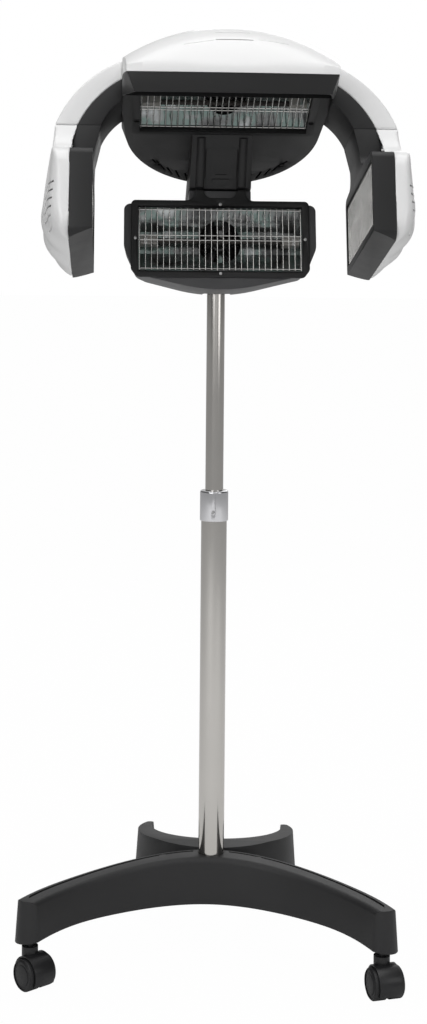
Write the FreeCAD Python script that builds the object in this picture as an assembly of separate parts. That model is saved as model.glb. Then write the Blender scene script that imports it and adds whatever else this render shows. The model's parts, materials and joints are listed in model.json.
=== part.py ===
"""Infrared hair processor: a four-lamp head on a telescopic column and a castered base.

Units are millimetres. The origin is on the floor under the column's axis, +Z is up,
the client sits on the -Y side and +X is to the right as the client's side is seen.
Places are given as x (to the right), d (forward, which is -Y) and h (up).
"""
import FreeCAD, Part
import math
import os

V = FreeCAD.Vector

# ---------------------------------------------------------------- column
lower_tube_radius = 20.0
lower_tube_wall = 1.5
lower_tube_foot = 90.0
lower_tube_top = 690.0
upper_tube_radius = 14.0
upper_tube_wall = 1.2
upper_tube_foot = 330.0
upper_tube_top = 1128.0
collar_radius = 22.0
collar_foot = 665.0
collar_top = 712.0
collar_chamfer = 3.0
set_screw_height = 680.0
set_screw_radius = 2.5
guide_bush_length = 80.0
running_clearance = 0.05
seat_clearance = 0.02
gap = 0.3

# ---------------------------------------------------------------- base
leg_wall = 4.0
front_leg_tip_x = 283.0
front_leg_rear_radius = 318.6
front_leg_rear_d = -22.0
front_leg_front_radius = 287.8
front_leg_front_d = 36.0
front_leg_tip_width = 44.0
front_leg_tip_bulge = 12.0
front_leg_draft = 7.0
front_leg_top = [(0.0, 147.0), (152.0, 133.0), (213.0, 126.5), (290.0, 123.0)]
front_leg_bottom = [(0.0, 77.0), (150.0, 72.0), (220.0, 69.0), (290.0, 59.0)]
groove_inset = 16.0
groove_width = 5.0
groove_depth = 3.0
groove_reach = 262.0
groove_collar_room = 8.0
leg_tip_top = 121.0
leg_tip_bottom = 57.0
leg_hollow_drop = 40.0
shoulder_radius = 9.0
rear_leg_outer_radius = 133.5
rear_leg_front_d = -15.0
rear_leg_inner_radius = 103.0
rear_leg_back_d = -78.0
rear_leg_tip_d = -204.0
rear_leg_bend_d = -60.0
rear_leg_bend = 60.0
rear_leg_draft = 7.0
rear_leg_top_center = 146.0
rear_leg_top_tip = 123.0
rear_leg_bottom_center = 74.0
rear_leg_bottom_tip = 59.0
plate_thickness = 10.0
plate_foot = 80.0
plate_half_length = 88.0
plate_front_d = 27.0
plate_rear_d = -62.0
plate_tongue_half = 24.0
socket_wall = 5.0
socket_top = 134.0
base_screw_radius = 4.0
base_screw_head = 7.0
base_screw_length = 16.0
base_screw_head_height = 4.0
plate_step_d = -2.0
base_screw_places = [(-74.0, 13.0), (74.0, 13.0), (-14.0, -50.0), (14.0, -50.0)]

# ---------------------------------------------------------------- casters
caster_places = {"front_left": (-258.0, 163.0, 45.0), "front_right": (258.0, 163.0, 19.0),
                 "rear_left": (-116.0, -176.0, 150.0), "rear_right": (116.0, -176.0, 200.0)}
caster_height = 58.7
caster_trail = 12.0
wheel_radius = 23.0
wheel_inner = 3.5
wheel_outer = 22.5
wheel_chamfer = 2.5
hood_gap = 1.2
hood_wall = 2.4
hood_half_width = 17.0
hood_web_half = 3.0
hood_boss_radius = 12.0
axle_radius = 3.0
stem_radius = 5.0
stem_length = 34.0
stem_tip = 1.5
stem_end_room = 1.5
stem_seat = 10.0
hub_skin = 2.8
axle_short = 3.0
stem_boss_radius = 9.5

# ---------------------------------------------------------------- head position
head_datum = 1180.0
head_pitch = 13.0
head_yaw = 6.2
pivot_drop = 14.4

# ---------------------------------------------------------------- swivel and tilt
post_radius = 9.0
post_flange_radius = 17.0
post_flange_thickness = 4.0
post_top = 1152.0
post_plug_length = 50.0
yoke_radius = 17.0
yoke_tongue_half = 10.0
yoke_tongue_round = 13.0
tilt_pin_radius = 5.0

# ---------------------------------------------------------------- head body
wall = 3.0
body_half_width = 150.0
body_rear_center = 135.0
body_front = 380.0
body_front_bow = 8.0
body_taper_d = 300.0
body_front_half = 145.0
body_draft = 22.0
split_line = [(410.0, 47.0), (385.0, 54.0), (340.0, 68.0), (300.0, 79.0), (262.0, 87.0),
              (200.0, 92.0), (120.0, 84.0), (50.0, 64.0), (-25.0, 44.0)]
dome_sections = [(388.0, 56.0, 62.0), (374.0, 69.0, 98.0), (345.0, 86.0, 131.0),
                 (300.0, 104.0, 150.0), (230.0, 120.0, 161.0), (150.0, 120.0, 158.0),
                 (80.0, 104.0, 138.0), (25.0, 80.0, 106.0), (-22.0, 52.0, 62.0)]
dome_foot = 40.0
slot_half_width = 24.0
slot_d = 352.0
slot_opening = 2.4
underside_rear_h = 8.0
underside_slope = 14.7
rim_foot = 27.0
rim_thickness = 8.0
visor_start = 262.0
visor_wall = 4.0
visor_ceiling_web = 6.0
visor_ceiling = [(262.0, 82.0), (300.0, 79.0), (340.0, 68.0), (372.0, 54.0)]
visor_split_h = 62.0
rim_drop = 5.5
slot_first_angle = 24.0
slot_step_angle = 7.5
slot_count = 5
slot_half_thickness = 1.5
slot_half_length = 11.0
slot_rim_inset = 30.0
slot_lean = 0.6
head_screw_places = [(-128.0, 178.0), (128.0, 178.0), (-96.0, 62.0), (96.0, 62.0)]
head_screw_radius = 4.0
head_screw_shank = 1.95
head_screw_sink = 1.2
head_screw_length = 11.0
panel_d = 42.0
panel_h = 112.0
panel_pitch = 38.0
panel_half_width = 52.0
panel_half_depth = 28.0
panel_low = -10.0
panel_high = 2.0
panel_corner = 6.0
window_half_width = 40.0
window_d = (2.0, 22.0)
window_depth = 1.0
panel_button_x = (-30.0, 0.0, 30.0)
panel_button_d = -13.0
panel_button_radius = 6.0
panel_button_seat = 4.0
panel_button_height = 5.5
inlet_half_width = 14.0
inlet_low = 22.0
inlet_high = 42.0
inlet_depth = 22.0
inlet_wall = 4.0

# ---------------------------------------------------------------- lamps
lamp_width = 243.0
lamp_height = 97.0
side_lamp_height = 88.0
lamp_margin = 2.0
wire_radius = 0.8
wire_sides = 6
wire_count = 28
grille_inset = 2.5
center_wire_gap = 7.2
tube_radius = 4.0
tube_length = 196.0
tube_depth = 16.0
holder_size = 13.0
reflector_thickness = 0.8
reflector_depth = 30.0
reflector_lip = grille_inset + 2.6 * wire_radius + gap
reflector_flat = 34.0
fan_hole_radius = 33.0
fan_radius = 31.0
fan_hub_radius = 11.0
fan_depth = 34.0
fan_thickness = 12.0
fan_blades = 7
blade_half = 0.8
blade_pitch = 40.0
motor_thickness = 2.5
strap_half = 6.0
top_lamp_d = 199.0
top_lamp_h = 61.0
top_frame_height = 3.0
top_frame_depth = 7.0
top_frame_side = 12.0
top_frame_end = 9.0
top_frame_corner = 6.0

# ---------------------------------------------------------------- neck and nape lamp
neck_half_width = 47.5
neck_plate_half = 38.5
neck_flare = 13.0
rib_x = 31.5
rib_radius = 8.0
rib_sink = 4.5
rib_foot = 0.0
rib_length = 84.0
neck_top_d = 148.0
seam_h = -20.0
seam_d = 84.0
neck_rear_d = -40.0
pole_slot_half = 22.0
pole_slot_front = 18.0
pole_slot_corner = 12.0
recess_half = 24.75
recess_depth = 5.0
door_half = 23.0
door_thickness = 3.0
grip_half_width = 9.0
grip_offset = 7.0
grip_height = 5.0
grip_depth = 1.5
button_radius = 12.5
button_travel = 2.5
nape_face_d = 80.0
nape_half_width = 134.5
nape_top = -39.0
nape_foot = -158.0
nape_plate_thickness = 4.0
nape_rear_d = -36.0
nape_pin_radius = 3.0
nape_housing_half = 145.0
nape_seam_gap = 3.2
nape_waist_h = -112.0
nape_corner_h = -153.0
nape_corner_inset = 17.0
nape_belly_h = -182.0
nape_belly_radius = 250.0
nape_top_drop = 5.0
nape_waist_d = 30.0
nape_waist_draft = 3.0
nape_rear_draft = 14.0
nape_screw_radius = 1.9
nape_screw_spread = (128.0, 53.5)
recess_top = 66.0
button_center = 13.5
lug_x = 34.0
lug_half = 4.0
lug_radius = 7.0
pin_half = 8.5
hinge_d = 67.0
hinge_h = -29.0

# ---------------------------------------------------------------- arms and side lamps
arm_front_d = 250.0
arm_rear_d = 150.0
arm_seam_h = 22.0
arm_outer = [(150.0, 119.0), (209.0, 78.0), (244.0, 22.0)]
arm_middle = [(150.0, 91.0), (190.0, 57.0), (212.0, 22.0)]
arm_inner = [(150.0, 60.0), (169.0, 41.0), (180.0, 22.0)]
seam_gap = 0.6
swivel_x = 196.5
swivel_d = 200.0
swivel_radius = 8.5
swivel_depth = 14.0
side_face_x = 189.0
side_joint_x = 220.0
side_front_d = 352.0
side_rear_d = 90.0
side_top_h = -42.0
side_foot_h = -166.0
side_inner_foot_h = -155.0
side_lamp_h = -98.0
shell_side_x = 263.0
shell_upper = (256.5, -40.0)
shell_lower = (251.0, -143.0)
shell_back_x = 205.0
shell_sections = [(353.0, 27.0), (345.0, 15.0), (330.0, 7.5), (295.0, 2.0), (221.0, 0.0),
                  (147.0, 2.0), (112.0, 7.5), (97.0, 15.0), (89.0, 27.0)]
shell_flare_d = 262.0
shell_flare_radius = 50.0
shell_rear_flare_d = 138.0
vent_count = 7
vent_d = 292.0
vent_top_h = -56.0
vent_pitch = 11.5
vent_half_length = 12.0
vent_half_thickness = 1.2
vent_lean = 35.0


# ================================================================ helpers
def at(x, d, h):
    return V(x, -d, h)


VIEWS = {"front": lambda u, v: at(u, 0, v),
         "side": lambda u, v: at(0, u, v),
         "plan": lambda u, v: at(u, v, 0)}
NORMALS = {"front": at(0, 1, 0), "side": at(1, 0, 0), "plan": at(0, 0, 1)}


def corner(view, previous, here, following):
    """Start, middle and end of one corner, which is round where it has a radius."""
    place = VIEWS[view](here[0], here[1])
    if len(here) < 3:
        return place, None, place
    back = (VIEWS[view](previous[0], previous[1]) - place).normalize()
    onward = (VIEWS[view](following[0], following[1]) - place).normalize()
    half = back.getAngle(onward) / 2
    reach = here[2] / math.tan(half)
    middle = place + (back + onward).normalize() * (here[2] / math.sin(half) - here[2])
    return place + back * reach, middle, place + onward * reach


def outline(view, corners):
    """Closed wire through (u, v) or (u, v, radius) corners in one view."""
    count = len(corners)
    bends = [corner(view, corners[i - 1], corners[i], corners[(i + 1) % count])
             for i in range(count)]
    edges = []
    for i in range(count):
        start, middle, stop = bends[i]
        if middle is not None:
            edges.append(Part.Arc(start, middle, stop).toShape())
        following = bends[(i + 1) % count][0]
        if stop.distanceToPoint(following) > 1e-6:
            edges.append(Part.LineSegment(stop, following).toShape())
    return Part.Wire(edges)


def raised(view, wire, low, high):
    """Solid of one closed wire between two depths of a view."""
    face = Part.Face(wire)
    face.translate(NORMALS[view] * low)
    return face.extrude(NORMALS[view] * (high - low))


def prism(view, corners, low, high):
    return raised(view, outline(view, corners), low, high)


def line(view, a, b):
    return Part.LineSegment(VIEWS[view](*a), VIEWS[view](*b)).toShape()


def arc(view, a, b, c):
    return Part.Arc(VIEWS[view](*a), VIEWS[view](*b), VIEWS[view](*c)).toShape()


def spline(view, points):
    curve = Part.BSplineCurve()
    curve.interpolate([VIEWS[view](u, v) for u, v in points])
    return curve.toShape()


def box(x0, x1, d0, d1, h0, h1):
    return Part.makeBox(x1 - x0, d1 - d0, h1 - h0, at(x0, d1, h0))


def rod(radius, start, direction, length):
    return Part.makeCylinder(radius, length, start, direction)


UP = at(0, 0, 1)
AHEAD = at(0, 1, 0)
RIGHT = at(1, 0, 0)


def mirrored(shape):
    return shape.mirror(V(0, 0, 0), V(1, 0, 0))


def mirrored_points(points):
    """A half outline from x = 0 outwards, completed on the other side."""
    return [(-u, v) for u, v in reversed(points[1:])] + points


nodes = {}


def keep(name, *solids):
    shape = solids[0] if len(solids) == 1 else Part.makeCompound(list(solids))
    nodes[name] = shape


# ================================================================ base
def circle_d(radius, center_d, x):
    """How far forward a circle's rear side lies at x."""
    return center_d - math.sqrt(radius ** 2 - x ** 2)


rear_arc_center = front_leg_rear_d + front_leg_rear_radius
front_arc_center = front_leg_front_d + front_leg_front_radius


def front_leg_plan(inset):
    """Crescent between two circles, drawn in all round by the inset."""
    rear_radius = front_leg_rear_radius - inset
    front_radius = front_leg_front_radius + inset
    x_rear = front_leg_tip_x - inset
    tip_rear = (x_rear, circle_d(rear_radius, rear_arc_center, x_rear))
    slant = math.asin(x_rear / rear_radius)
    x_front = x_rear - (front_leg_tip_width - 2 * inset) * math.sin(slant)
    tip_front = (x_front, circle_d(front_radius, front_arc_center, x_front))
    bulge = front_leg_tip_bulge - inset / 2
    tip_middle = ((tip_rear[0] + tip_front[0]) / 2 + bulge * math.cos(slant),
                  (tip_rear[1] + tip_front[1]) / 2 + bulge * math.sin(slant))

    def other(point):
        return (-point[0], point[1])
    return Part.Wire([
        arc("plan", other(tip_rear), (0, front_leg_rear_d + inset), tip_rear),
        arc("plan", tip_rear, tip_middle, tip_front),
        arc("plan", tip_front, (0, front_leg_front_d - inset), other(tip_front)),
        arc("plan", other(tip_front), other(tip_middle), other(tip_rear))])


def drafted(plan, low, high, foot_inset, top_inset):
    """Solid between a plan outline at its foot and the same outline, drawn in, at its top."""
    foot = plan(foot_inset)
    top = plan(top_inset)
    foot.translate(UP * low)
    top.translate(UP * high)
    return Part.makeLoft([foot, top], True, True)


def front_leg_elevation(inset):
    reach = front_leg_tip_x + 30.0
    top = mirrored_points([(x, h - inset) for x, h in front_leg_top] + [(reach, leg_tip_top - inset)])
    foot = mirrored_points(front_leg_bottom + [(reach, leg_tip_bottom)])
    lower = [(x, h - (leg_hollow_drop if inset else 0.0)) for x, h in foot]
    return Part.Wire([spline("front", top), line("front", top[-1], lower[-1]),
                      spline("front", list(reversed(lower))), line("front", lower[0], top[0])])


leg_low = 50.0
leg_high = 152.0


def front_leg_form():
    block = drafted(front_leg_plan, leg_low, leg_high, 0.0, front_leg_draft)
    return block.common(raised("front", front_leg_elevation(0.0), -60.0, 260.0))


def socket_bore(shape):
    return shape.cut(rod(lower_tube_radius + gap, at(0, 0, leg_low), UP, leg_high))


def caster_boss(place, foot, top):
    x, d = place[:2]
    return rod(stem_boss_radius, at(x, d, foot), UP, top - foot)


def stem_bore(place):
    x, d = place[:2]
    top = caster_height + stem_length + stem_tip + stem_end_room
    return rod(stem_radius + running_clearance, at(x, d, leg_low - 1), UP, top - leg_low + 1)


def plate_outline(extra):
    tongue = plate_tongue_half + extra
    half = plate_half_length + extra
    return [(-half, plate_front_d + extra), (-half, plate_step_d - extra), (-tongue, plate_step_d - extra),
            (-tongue, plate_rear_d - extra), (tongue, plate_rear_d - extra),
            (tongue, plate_step_d - extra), (half, plate_step_d - extra), (half, plate_front_d + extra)]


def screw_bosses(places, top):
    """Round bosses over the plate that its screws bite into."""
    foot = plate_foot + plate_thickness
    bosses = []
    for x, d in places:
        boss = rod(base_screw_head, at(x, d, foot), UP, top - foot)
        bosses.append(boss.cut(rod(base_screw_radius, at(x, d, foot), UP, base_screw_length)))
    return bosses


def make_front_leg():
    form = front_leg_form()
    rounded = [edge for edge in form.Edges if edge.BoundBox.ZMin > 110.0 and edge.Length > 300.0]
    leg = form.makeFillet(shoulder_radius, rounded)
    hollow = drafted(front_leg_plan, leg_low - 30, leg_high, leg_wall, front_leg_draft + leg_wall)
    hollow = hollow.common(raised("front", front_leg_elevation(leg_wall + 2.0), -60.0, 260.0))
    for name in ("front_left", "front_right"):
        hollow = hollow.cut(caster_boss(caster_places[name], leg_low, leg_high))
    leg = leg.cut(hollow)
    groove_rear = front_leg_rear_radius - groove_inset
    ring = rod(groove_rear, at(0, rear_arc_center, leg_low), UP, leg_high)
    ring = ring.cut(rod(groove_rear - groove_width, at(0, rear_arc_center, leg_low), UP, leg_high))
    ring = ring.common(box(-groove_reach, groove_reach, -60.0, rear_arc_center, leg_low, leg_high))
    skin = raised("front", front_leg_elevation(0.0), -60.0, 260.0)
    skin = skin.cut(skin.translated(-UP * groove_depth))
    leg = leg.cut(ring.common(skin).cut(rod(lower_tube_radius + groove_collar_room, at(0, 0, leg_low), UP,
                                     leg_high)))
    inside = front_leg_form()
    for boss in screw_bosses(base_screw_places[:2], leg_high):
        leg = leg.fuse(boss.common(inside))
    for name in ("front_left", "front_right"):
        leg = leg.cut(stem_bore(caster_places[name]))
    leg = leg.cut(prism("plan", plate_outline(gap), plate_foot, plate_foot + plate_thickness))
    return socket_bore(leg).removeSplitter()


def rear_leg_plan(inset):
    """Horned crescent between two circles, drawn in all round by the inset."""
    outer_radius = rear_leg_outer_radius - inset
    inner_radius = rear_leg_inner_radius + inset
    tip_d = rear_leg_tip_d + inset
    outer_center = rear_leg_front_d - rear_leg_outer_radius
    inner_center = rear_leg_back_d - rear_leg_inner_radius
    x_outer = math.sqrt(outer_radius ** 2 - (tip_d - outer_center) ** 2)
    x_inner = math.sqrt(inner_radius ** 2 - (tip_d - inner_center) ** 2)
    middle = ((x_outer + x_inner) / 2, tip_d - (x_outer - x_inner) / 3)
    return Part.Wire([
        arc("plan", (-x_outer, tip_d), (0, rear_leg_front_d - inset), (x_outer, tip_d)),
        arc("plan", (x_outer, tip_d), middle, (x_inner, tip_d)),
        arc("plan", (x_inner, tip_d), (0, rear_leg_back_d + inset), (-x_inner, tip_d)),
        arc("plan", (-x_inner, tip_d), (-middle[0], middle[1]), (-x_outer, tip_d))])


def rear_leg_elevation(inset):
    tip = rear_leg_tip_d - 20.0
    drop = leg_hollow_drop if inset else 0.0
    bend = rear_leg_bend_d
    return [(0.0, rear_leg_top_center - inset), (bend, rear_leg_top_center - 1.0 - inset, rear_leg_bend),
            (tip, rear_leg_top_tip - inset), (tip, rear_leg_bottom_tip - drop),
            (bend, rear_leg_bottom_center - drop, rear_leg_bend), (0.0, rear_leg_bottom_center - drop)]


def make_rear_leg(front_leg_block):
    block = drafted(rear_leg_plan, leg_low, leg_high, 0.0, rear_leg_draft)
    form = block.common(prism("side", rear_leg_elevation(0.0), -160.0, 160.0))
    hollow = drafted(rear_leg_plan, leg_low - 30, leg_high, leg_wall, rear_leg_draft + leg_wall)
    hollow = hollow.common(prism("side", rear_leg_elevation(leg_wall), -160.0, 160.0))
    for name in ("rear_left", "rear_right"):
        hollow = hollow.cut(caster_boss(caster_places[name], leg_low, leg_high))
    leg = form.cut(hollow)
    for boss in screw_bosses(base_screw_places[2:], leg_high):
        leg = leg.fuse(boss.common(form))
    for name in ("rear_left", "rear_right"):
        leg = leg.cut(stem_bore(caster_places[name]))
    leg = leg.cut(prism("plan", plate_outline(gap), plate_foot, plate_foot + plate_thickness))
    return socket_bore(leg.cut(front_leg_block)).removeSplitter()


def make_base():
    keep("base_front_leg", make_front_leg())
    block = drafted(front_leg_plan, leg_low, leg_high, 0.0, front_leg_draft)
    keep("base_rear_leg", make_rear_leg(block))
    plate = prism("plan", plate_outline(0.0), plate_foot, plate_foot + plate_thickness)
    screws = []
    for x, d in base_screw_places:
        hole = rod(base_screw_radius + gap, at(x, d, plate_foot), UP, plate_thickness)
        plate = plate.cut(hole)
        shank = rod(base_screw_radius - seat_clearance, at(x, d, plate_foot), UP,
                    plate_thickness + base_screw_length - 1.0)
        head = rod(base_screw_head, at(x, d, plate_foot - base_screw_head_height), UP,
                   base_screw_head_height)
        screws.append(shank.fuse(head))
    keep("base_plate", plate)
    keep("base_screws", *screws)
    foot = plate_foot + plate_thickness
    sleeve = rod(lower_tube_radius + socket_wall, at(0, 0, foot), UP, socket_top - foot)
    sleeve = sleeve.cut(rod(lower_tube_radius + seat_clearance, at(0, 0, foot), UP, socket_top - foot))
    room = rod(lower_tube_radius + socket_wall + gap, at(0, 0, foot), UP, socket_top - foot)
    nodes["base_front_leg"] = nodes["base_front_leg"].cut(room)
    nodes["base_rear_leg"] = nodes["base_rear_leg"].cut(room)
    keep("pole_socket", sleeve)


# ================================================================ casters
def caster_hood():
    """Fender over the wheels, with the web, the stem boss, the stem and the axle."""
    center = at(0, caster_trail, wheel_radius)
    room = wheel_radius + hood_gap
    start = at(-hood_half_width, caster_trail, wheel_radius)
    fender = rod(room + hood_wall, start, RIGHT, 2 * hood_half_width)
    fender = fender.cut(rod(room, start, RIGHT, 2 * hood_half_width))
    fender = fender.cut(box(-40, 40, -60, 60, -10, wheel_radius * 0.45))
    web = rod(room + hood_wall - 0.5, at(-hood_web_half, caster_trail, wheel_radius), RIGHT,
              2 * hood_web_half)
    web = web.common(box(-40, 40, -60, 60, wheel_radius * 0.45, 80))
    boss = rod(hood_boss_radius, at(0, 0, wheel_radius), UP, caster_height - wheel_radius)
    clear = rod(room, at(-40, caster_trail, wheel_radius), RIGHT, 80)
    boss = boss.cut(clear)
    hood = fender.fuse([web, boss])
    hood = hood.cut(rod(axle_radius, center - RIGHT * 40, RIGHT, 80))
    stem_foot = caster_height - stem_seat
    hood = hood.cut(rod(stem_radius, at(0, 0, stem_foot), UP, 2 * stem_seat))
    stem = rod(stem_radius, at(0, 0, stem_foot), UP, stem_length + stem_seat)
    stem = stem.fuse(rod(stem_radius - 1.0, at(0, 0, caster_height + stem_length), UP, stem_tip))
    half = wheel_outer - axle_short
    axle = rod(axle_radius, center - RIGHT * half, RIGHT, 2 * half)
    return [hood.removeSplitter(), stem, axle]


def caster_wheels():
    wheels = []
    for side in (-1, 1):
        start = at(side * wheel_inner, caster_trail, wheel_radius)
        wheel = rod(wheel_radius, start, RIGHT * side, wheel_outer - wheel_inner)
        rim = [edge for edge in wheel.Edges
               if len(edge.Vertexes) == 1 and abs(abs(edge.CenterOfMass.x) - wheel_outer) < 0.01]
        wheel = wheel.makeChamfer(wheel_chamfer, rim)
        bore = rod(axle_radius + running_clearance, start, RIGHT * side, wheel_outer - wheel_inner - hub_skin)
        wheels.append(wheel.cut(bore))
    return wheels


def make_casters():
    for name, (x, d, turn) in caster_places.items():
        place = FreeCAD.Placement(at(x, d, 0), FreeCAD.Rotation(UP, turn))
        keep("caster_hood_" + name, *[s.transformed(place.toMatrix()) for s in caster_hood()])
        keep("caster_wheels_" + name, *[s.transformed(place.toMatrix()) for s in caster_wheels()])


# ================================================================ column
def make_column():
    length = lower_tube_top - lower_tube_foot
    inner = lower_tube_radius - lower_tube_wall
    tube = rod(lower_tube_radius, at(0, 0, lower_tube_foot), UP, length)
    tube = tube.cut(rod(inner, at(0, 0, lower_tube_foot), UP, length))
    collar = rod(collar_radius, at(0, 0, collar_foot), UP, collar_top - collar_foot)
    top_edge = [edge for edge in collar.Edges
                if len(edge.Vertexes) == 1 and edge.CenterOfMass.z > collar_top - 0.01]
    collar = collar.makeFillet(collar_chamfer, top_edge)
    collar = collar.cut(rod(lower_tube_radius + seat_clearance, at(0, 0, collar_foot), UP,
                            lower_tube_top - collar_foot))
    bush_bore = upper_tube_radius + running_clearance
    collar = collar.cut(rod(upper_tube_radius + gap, at(0, 0, collar_foot), UP, 100))
    hole = rod(set_screw_radius + seat_clearance, at(0, 0, set_screw_height), AHEAD, collar_radius + 2)
    collar = collar.cut(hole)
    tube = tube.cut(hole)
    keep("lower_tube", tube)
    keep("collar", collar)
    screw_start = inner
    screw = rod(set_screw_radius, at(0, screw_start, set_screw_height), AHEAD,
                collar_radius - 0.8 - screw_start)
    socket = prism("front", [(1.2 * math.cos(math.radians(60 * i)),
                              set_screw_height + 1.2 * math.sin(math.radians(60 * i)))
                             for i in range(6)], collar_radius - 2.2, collar_radius)
    keep("collar_set_screw", screw.cut(socket))
    foot = lower_tube_top - guide_bush_length
    bush = rod(inner - seat_clearance, at(0, 0, foot), UP, guide_bush_length)
    keep("guide_bush", bush.cut(rod(bush_bore, at(0, 0, foot), UP, guide_bush_length)))
    upper = rod(upper_tube_radius, at(0, 0, upper_tube_foot), UP, upper_tube_top - upper_tube_foot)
    bore = upper_tube_radius - upper_tube_wall
    upper = upper.cut(rod(bore, at(0, 0, upper_tube_foot), UP, upper_tube_top - upper_tube_foot))
    keep("upper_tube", upper)
    post = rod(bore - seat_clearance, at(0, 0, upper_tube_top - post_plug_length), UP, post_plug_length)
    post = post.fuse([rod(post_flange_radius, at(0, 0, upper_tube_top), UP, post_flange_thickness),
                      rod(post_radius, at(0, 0, upper_tube_top), UP, post_top - upper_tube_top)])
    keep("swivel_post", post.removeSplitter())


# ================================================================ head frame
to_head = FreeCAD.Placement(at(0, 0, head_datum), FreeCAD.Rotation(UP, head_yaw)).multiply(
    FreeCAD.Placement(V(0, 0, 0), FreeCAD.Rotation(RIGHT, -head_pitch)))
pivot_d = -pivot_drop * math.sin(math.radians(head_pitch))
pivot_h = -pivot_drop * math.cos(math.radians(head_pitch))


def in_head(shape):
    return shape.transformed(to_head.toMatrix())


def keep_in_head(name, *solids):
    keep(name, *[in_head(solid) for solid in solids])


def make_yoke():
    """The yoke turns on the post, and its tongue carries the tilt pin."""
    foot = upper_tube_top + post_flange_thickness + gap
    pivot = head_datum - pivot_drop
    shoulder = post_top + 3.0
    body = rod(yoke_radius, at(0, 0, foot), UP, shoulder - foot)
    body = body.cut(rod(post_radius + running_clearance, at(0, 0, foot), UP, post_top + 0.5 - foot))
    round_end = yoke_tongue_round
    tongue = box(-yoke_tongue_half, yoke_tongue_half, -round_end, round_end, shoulder - 1.0, pivot)
    tongue = tongue.fuse(rod(round_end, at(-yoke_tongue_half, 0, pivot), RIGHT, 2 * yoke_tongue_half))
    tongue = tongue.cut(box(-40, 40, -40, 40, foot, shoulder - 1.0))
    yoke = body.fuse(tongue)
    yoke = yoke.cut(rod(tilt_pin_radius + running_clearance, at(-40, 0, pivot), RIGHT, 80))
    yoke = yoke.removeSplitter()
    yoke.rotate(V(0, 0, 0), UP, head_yaw)
    keep("swivel_yoke", yoke)
    pin = rod(tilt_pin_radius, at(-neck_half_width + 1.0, pivot_d, pivot_h), RIGHT,
              2 * neck_half_width - 2.0)
    keep_in_head("tilt_pin", pin)


# ================================================================ lamps
def hex_wire(start, direction, length):
    """A grille wire as a six-sided rod."""
    spin = FreeCAD.Rotation(UP, direction)
    ring = [start + spin.multVec(V(wire_radius * math.cos(2 * math.pi * i / wire_sides),
                                   wire_radius * math.sin(2 * math.pi * i / wire_sides), 0))
            for i in range(wire_sides)]
    face = Part.Face(Part.makePolygon(ring + ring[:1]))
    return face.extrude(direction * length)


def lamp_grille(height):
    """Upright wires on four cross wires, in a lamp that faces forward at d = 0."""
    pitch = lamp_width / (wire_count - 1)
    front = -grille_inset
    behind = front - 1.6 * wire_radius
    uprights = [hex_wire(at(-lamp_width / 2 + i * pitch, front, -height / 2), UP, height)
                for i in range(wire_count)]
    heights = (height / 2 - 3.0, center_wire_gap / 2 + 2.0, 2.0 - center_wire_gap / 2, 3.0 - height / 2)
    across = [hex_wire(at(-lamp_width / 2 - 1.9, behind, h), RIGHT, lamp_width + 3.8) for h in heights]
    grille = across[0].fuse(across[1:] + uprights)
    return grille


def lamp_reflector(height):
    """Bent bright sheet with two ends, and behind its round hole the strap that holds the fan."""
    deep = -reflector_depth
    mouth = height / 2 - 1.0
    flat = reflector_flat / 2
    lip = -reflector_lip
    t = reflector_thickness
    half = lamp_width / 2 + lamp_margin - gap
    profile = [(lip, mouth), (deep, flat), (deep, -flat), (lip, -mouth),
               (lip, -mouth - t), (deep - t, -flat - t), (deep - t, flat + t), (lip, mouth + t)]
    sheet = prism("side", profile, -half, half)
    outer = [profile[7], profile[6], profile[5], profile[4]]
    ends = [prism("side", outer, x, x + t) for x in (-half, half - t)]
    sheet = sheet.fuse(ends).cut(rod(fan_hole_radius, at(0, deep - 5.0, 0), AHEAD, reflector_depth))
    strap_h = fan_hole_radius + 4.0
    strap_back = -fan_depth - fan_thickness - gap - motor_thickness - t
    slant_depth = lip - (mouth - strap_h) / (mouth - flat) * (reflector_depth - reflector_lip)
    strap = box(-strap_half, strap_half, strap_back, strap_back + t, -strap_h - t, strap_h + t)
    legs = [box(-strap_half, strap_half, strap_back, slant_depth - t / 2, h, h + t)
            for h in (strap_h, -strap_h - t)]
    motor = rod(fan_hub_radius - 2.0, at(0, strap_back + t, 0), AHEAD, motor_thickness)
    return sheet.fuse([strap, motor] + legs)


def lamp_heater():
    """Quartz tube between two square ceramic ends."""
    tube = rod(tube_radius, at(-tube_length / 2, -tube_depth, 0), RIGHT, tube_length)
    solids = [tube]
    for side in (-1, 1):
        near = side * (tube_length / 2 - 4.0)
        far = side * (lamp_width / 2 - 1.5)
        x0, x1 = sorted((near, far))
        half = holder_size / 2
        holder = box(x0, x1, seat_clearance - reflector_depth, half - tube_depth, -half, half)
        solids.append(holder.cut(rod(tube_radius, at(-tube_length / 2, -tube_depth, 0), RIGHT,
                                     tube_length)))
    return solids


def lamp_fan():
    """Rotor with a flat hub and pitched blades."""
    back = -fan_depth - fan_thickness
    middle = at(0, back + fan_thickness / 2, 0)
    hub = rod(fan_hub_radius, at(0, back, 0), AHEAD, fan_thickness)
    blades = []
    for i in range(fan_blades):
        blade = box(-blade_half, blade_half, back + 2.0, back + fan_thickness - 2.0,
                    fan_hub_radius - 2.0, fan_radius)
        blade.rotate(middle, UP, blade_pitch)
        blade.rotate(middle, AHEAD, 360.0 * i / fan_blades)
        blades.append(blade)
    return hub.fuse(blades)


def placed(offset, spin_axis, degrees):
    return FreeCAD.Placement(offset, FreeCAD.Rotation(spin_axis, degrees))


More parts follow.
